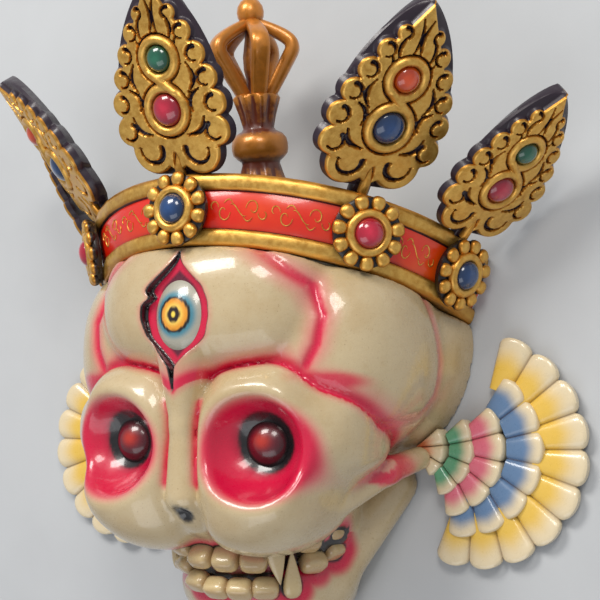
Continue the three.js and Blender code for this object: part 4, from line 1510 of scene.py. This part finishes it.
def model_fan():
    """The left ear's fan: five rows of rounded lobes, each row lying over the next one out."""
    rows = []
    for i, (centre_x, radius, first, last, lobes, colour) in enumerate(FAN_ROWS):
        inner = 2.0 if i == 0 else FAN_ROWS[i - 1][1] * 0.72
        columns, steps = lobes * 16, 22
        sheet, cu, cv = grid("fan_row", columns, steps)
        phase = cu * lobes
        across = 2 * (phase - np.floor(np.clip(phase, 0, lobes - 1e-6))) - 1
        angle = np.radians(first + (last - first) * cu)
        bite = 0.085 * radius * (1 - np.sqrt(np.clip(1 - across**2 * 0.98, 0, 1)))
        outer = radius - bite
        along = cv**0.8
        reach = inner + (outer - inner) * along
        x = centre_x + reach * np.cos(angle)
        y = FAN_CENTRE_Y + reach * np.sin(angle)
        top = FAN_BACK + FAN_THICKNESS + FAN_STEP * (len(FAN_ROWS) - i)
        furrow = 1 - np.abs(across) ** 5
        lip = np.sqrt(np.clip(1 - ((along - 0.86) / 0.14).clip(0, 1) ** 2, 0, 1))
        swell = 1.4 * (1 - across**2)
        z = top - 3.2 + (1.4 * furrow + swell) * (0.35 + 0.65 * along) + 1.6 * lip * furrow - 0.4
        z = np.minimum(z, top + 0.4)
        set_points(sheet, np.stack([x, y, z], 1))
        seen = np.clip((reach - inner * 1.28) / np.maximum(outer - inner * 1.28, 1), 0, 1)
        fade = 1 - smoothstep(0.12, 0.82, seen + 0.12 * (np.abs(across) - 0.5))
        paint = over(np.zeros((len(x), 4)), FAN_CREAM, np.full(len(x), 0.85))
        paint = over(paint, colour, 0.88 * fade)
        paint = over(paint, tint(90, 56, 34), 0.5 * smoothstep(0.9, 1.0, np.abs(across)))
        set_paint(sheet, paint)
        rim_down(sheet, FAN_BACK)
        rows.append(sheet)
    return join(rows, "fan")


class MASK_OT_fans(bpy.types.Operator):
    """Model the fan of lobes at one ear and mirror it to the other"""

    bl_idname = "mask.fans"
    bl_label = "Ear fans"

    def execute(self, context):
        colours = context.scene.mask_colours
        fan = model_fan()
        fan.data.materials.append(lacquer("fan_lacquer", tint(232, 214, 178), colours.bone_aged, 0.6, 0.6))
        for ending, side in (("left", 1), ("right", -1)):
            copy = copy_of(fan, "fan")
            if side < 0:
                transform(copy, Matrix.Scale(-1, 4, (1, 0, 0)))
            settle(copy, f"ear_fan_{ending}_painted", [f"ear_fan_{ending}"])
        bpy.data.objects.remove(fan)
        return {"FINISHED"}


# ---------------------------------------------------------------- the stage
CAMERA_AZIMUTH = math.radians(31.07)
CAMERA_RISE = math.radians(-5.53)
CAMERA_ROLL = math.radians(0.848)
CAMERA_AIM = (49.32, 0.0, 80.0)
CAMERA_DISTANCE = 868.0


def area_light(name, place, aim, size, power, colour):
    light = bpy.data.lights.new(name, "AREA")
    light.shape = "RECTANGLE"
    light.size, light.size_y = size
    light.energy = power
    light.color = colour
    obj = bpy.data.objects.new(name, light)
    bpy.context.scene.collection.objects.link(obj)
    obj.location = place
    obj.rotation_euler = (Vector(aim) - Vector(place)).to_track_quat("-Z", "Y").to_euler()
    return obj


class MASK_OT_stage(bpy.types.Operator):
    """Lay down the pale floor, the soft lights and the camera"""

    bl_idname = "mask.stage"
    bl_label = "Stage"

    def execute(self, context):
        scene = context.scene
        colours = scene.mask_colours
        deselect()
        bpy.ops.mesh.primitive_plane_add(size=8, location=(0, 0, -0.0005))
        floor = bpy.context.object
        floor.name = "pale_floor"
        floor.data.materials.append(
            plain_paint("floor_plaster", colours.wall, tuple(0.93 * c for c in colours.wall), 5, 0.85, 0.0)
        )
        world = bpy.data.worlds.new("soft_room")
        world.use_nodes = True
        background = world.node_tree.nodes["Background"]
        background.inputs["Color"].default_value = (0.86, 0.90, 0.96, 1)
        background.inputs["Strength"].default_value = 0.45
        scene.world = world
        lights = [
            area_light("window", (-0.5, 1.2, 1.5), (0, -0.02, 0.05), (0.9, 0.6), 26, (1.0, 0.97, 0.92)),
            area_light("ceiling", (0.7, 0.9, 1.3), (0, 0, 0.05), (0.5, 0.5), 9, (1.0, 0.96, 0.9)),
            area_light("room", (0.1, -1.4, 1.2), (0, 0, 0.05), (1.6, 1.0), 7, (0.95, 0.97, 1.0)),
        ]
        back = Vector((
            math.sin(CAMERA_AZIMUTH) * math.cos(CAMERA_RISE),
            math.sin(CAMERA_RISE),
            math.cos(CAMERA_AZIMUTH) * math.cos(CAMERA_RISE),
        ))
        level = Vector((math.cos(CAMERA_AZIMUTH), 0, -math.sin(CAMERA_AZIMUTH)))
        up = back.cross(level)
        across = level * math.cos(CAMERA_ROLL) + up * math.sin(CAMERA_ROLL)
        upright = up * math.cos(CAMERA_ROLL) - level * math.sin(CAMERA_ROLL)
        camera = bpy.data.cameras.new("camera")
        camera.lens = scene.mask_sizes.lens
        camera.sensor_width = 36
        camera.clip_start = 0.01
        viewer = bpy.data.objects.new("camera", camera)
        scene.collection.objects.link(viewer)
        pose = Matrix((across, upright, back)).transposed().to_4x4()
        pose.translation = TO_FRAME @ (Vector(CAMERA_AIM) + back * CAMERA_DISTANCE)
        viewer.matrix_world = pose
        scene.camera = viewer
        scene.view_settings.view_transform = "Standard"
        return {"FINISHED"}


class MASK_PT_panel(bpy.types.Panel):
    """The mask's pieces, sizes and paints"""

    bl_label = "Skull dance mask"
    bl_idname = "MASK_PT_panel"
    bl_space_type = "VIEW_3D"
    bl_region_type = "UI"
    bl_category = "Mask"

    def draw(self, context):
        for operator in OPERATORS:
            self.layout.operator(operator.bl_idname)
        for group in (context.scene.mask_sizes, context.scene.mask_colours):
            box = self.layout.box()
            for name in group.bl_rna.properties.keys():
                if name not in ("rna_type", "name"):
                    box.prop(group, name)


OPERATORS = (
    MASK_OT_skull, MASK_OT_band, MASK_OT_rosettes, MASK_OT_leaves, MASK_OT_vajra, MASK_OT_fans, MASK_OT_stage,
)
CLASSES = (MaskColours, MaskSizes, *OPERATORS, MASK_PT_panel)


def register():
    for cls in CLASSES:
        bpy.utils.register_class(cls)
    bpy.types.Scene.mask_colours = bpy.props.PointerProperty(type=MaskColours)
    bpy.types.Scene.mask_sizes = bpy.props.PointerProperty(type=MaskSizes)


def unregister():
    del bpy.types.Scene.mask_sizes
    del bpy.types.Scene.mask_colours
    for cls in reversed(CLASSES):
        bpy.utils.unregister_class(cls)


def main():
    register()
    bpy.ops.mask.skull()
    bpy.ops.mask.band()
    bpy.ops.mask.rosettes()
    bpy.ops.mask.leaves()
    bpy.ops.mask.vajra()
    bpy.ops.mask.fans()
    bpy.ops.mask.stage()


if __name__ == "__main__":
    main()
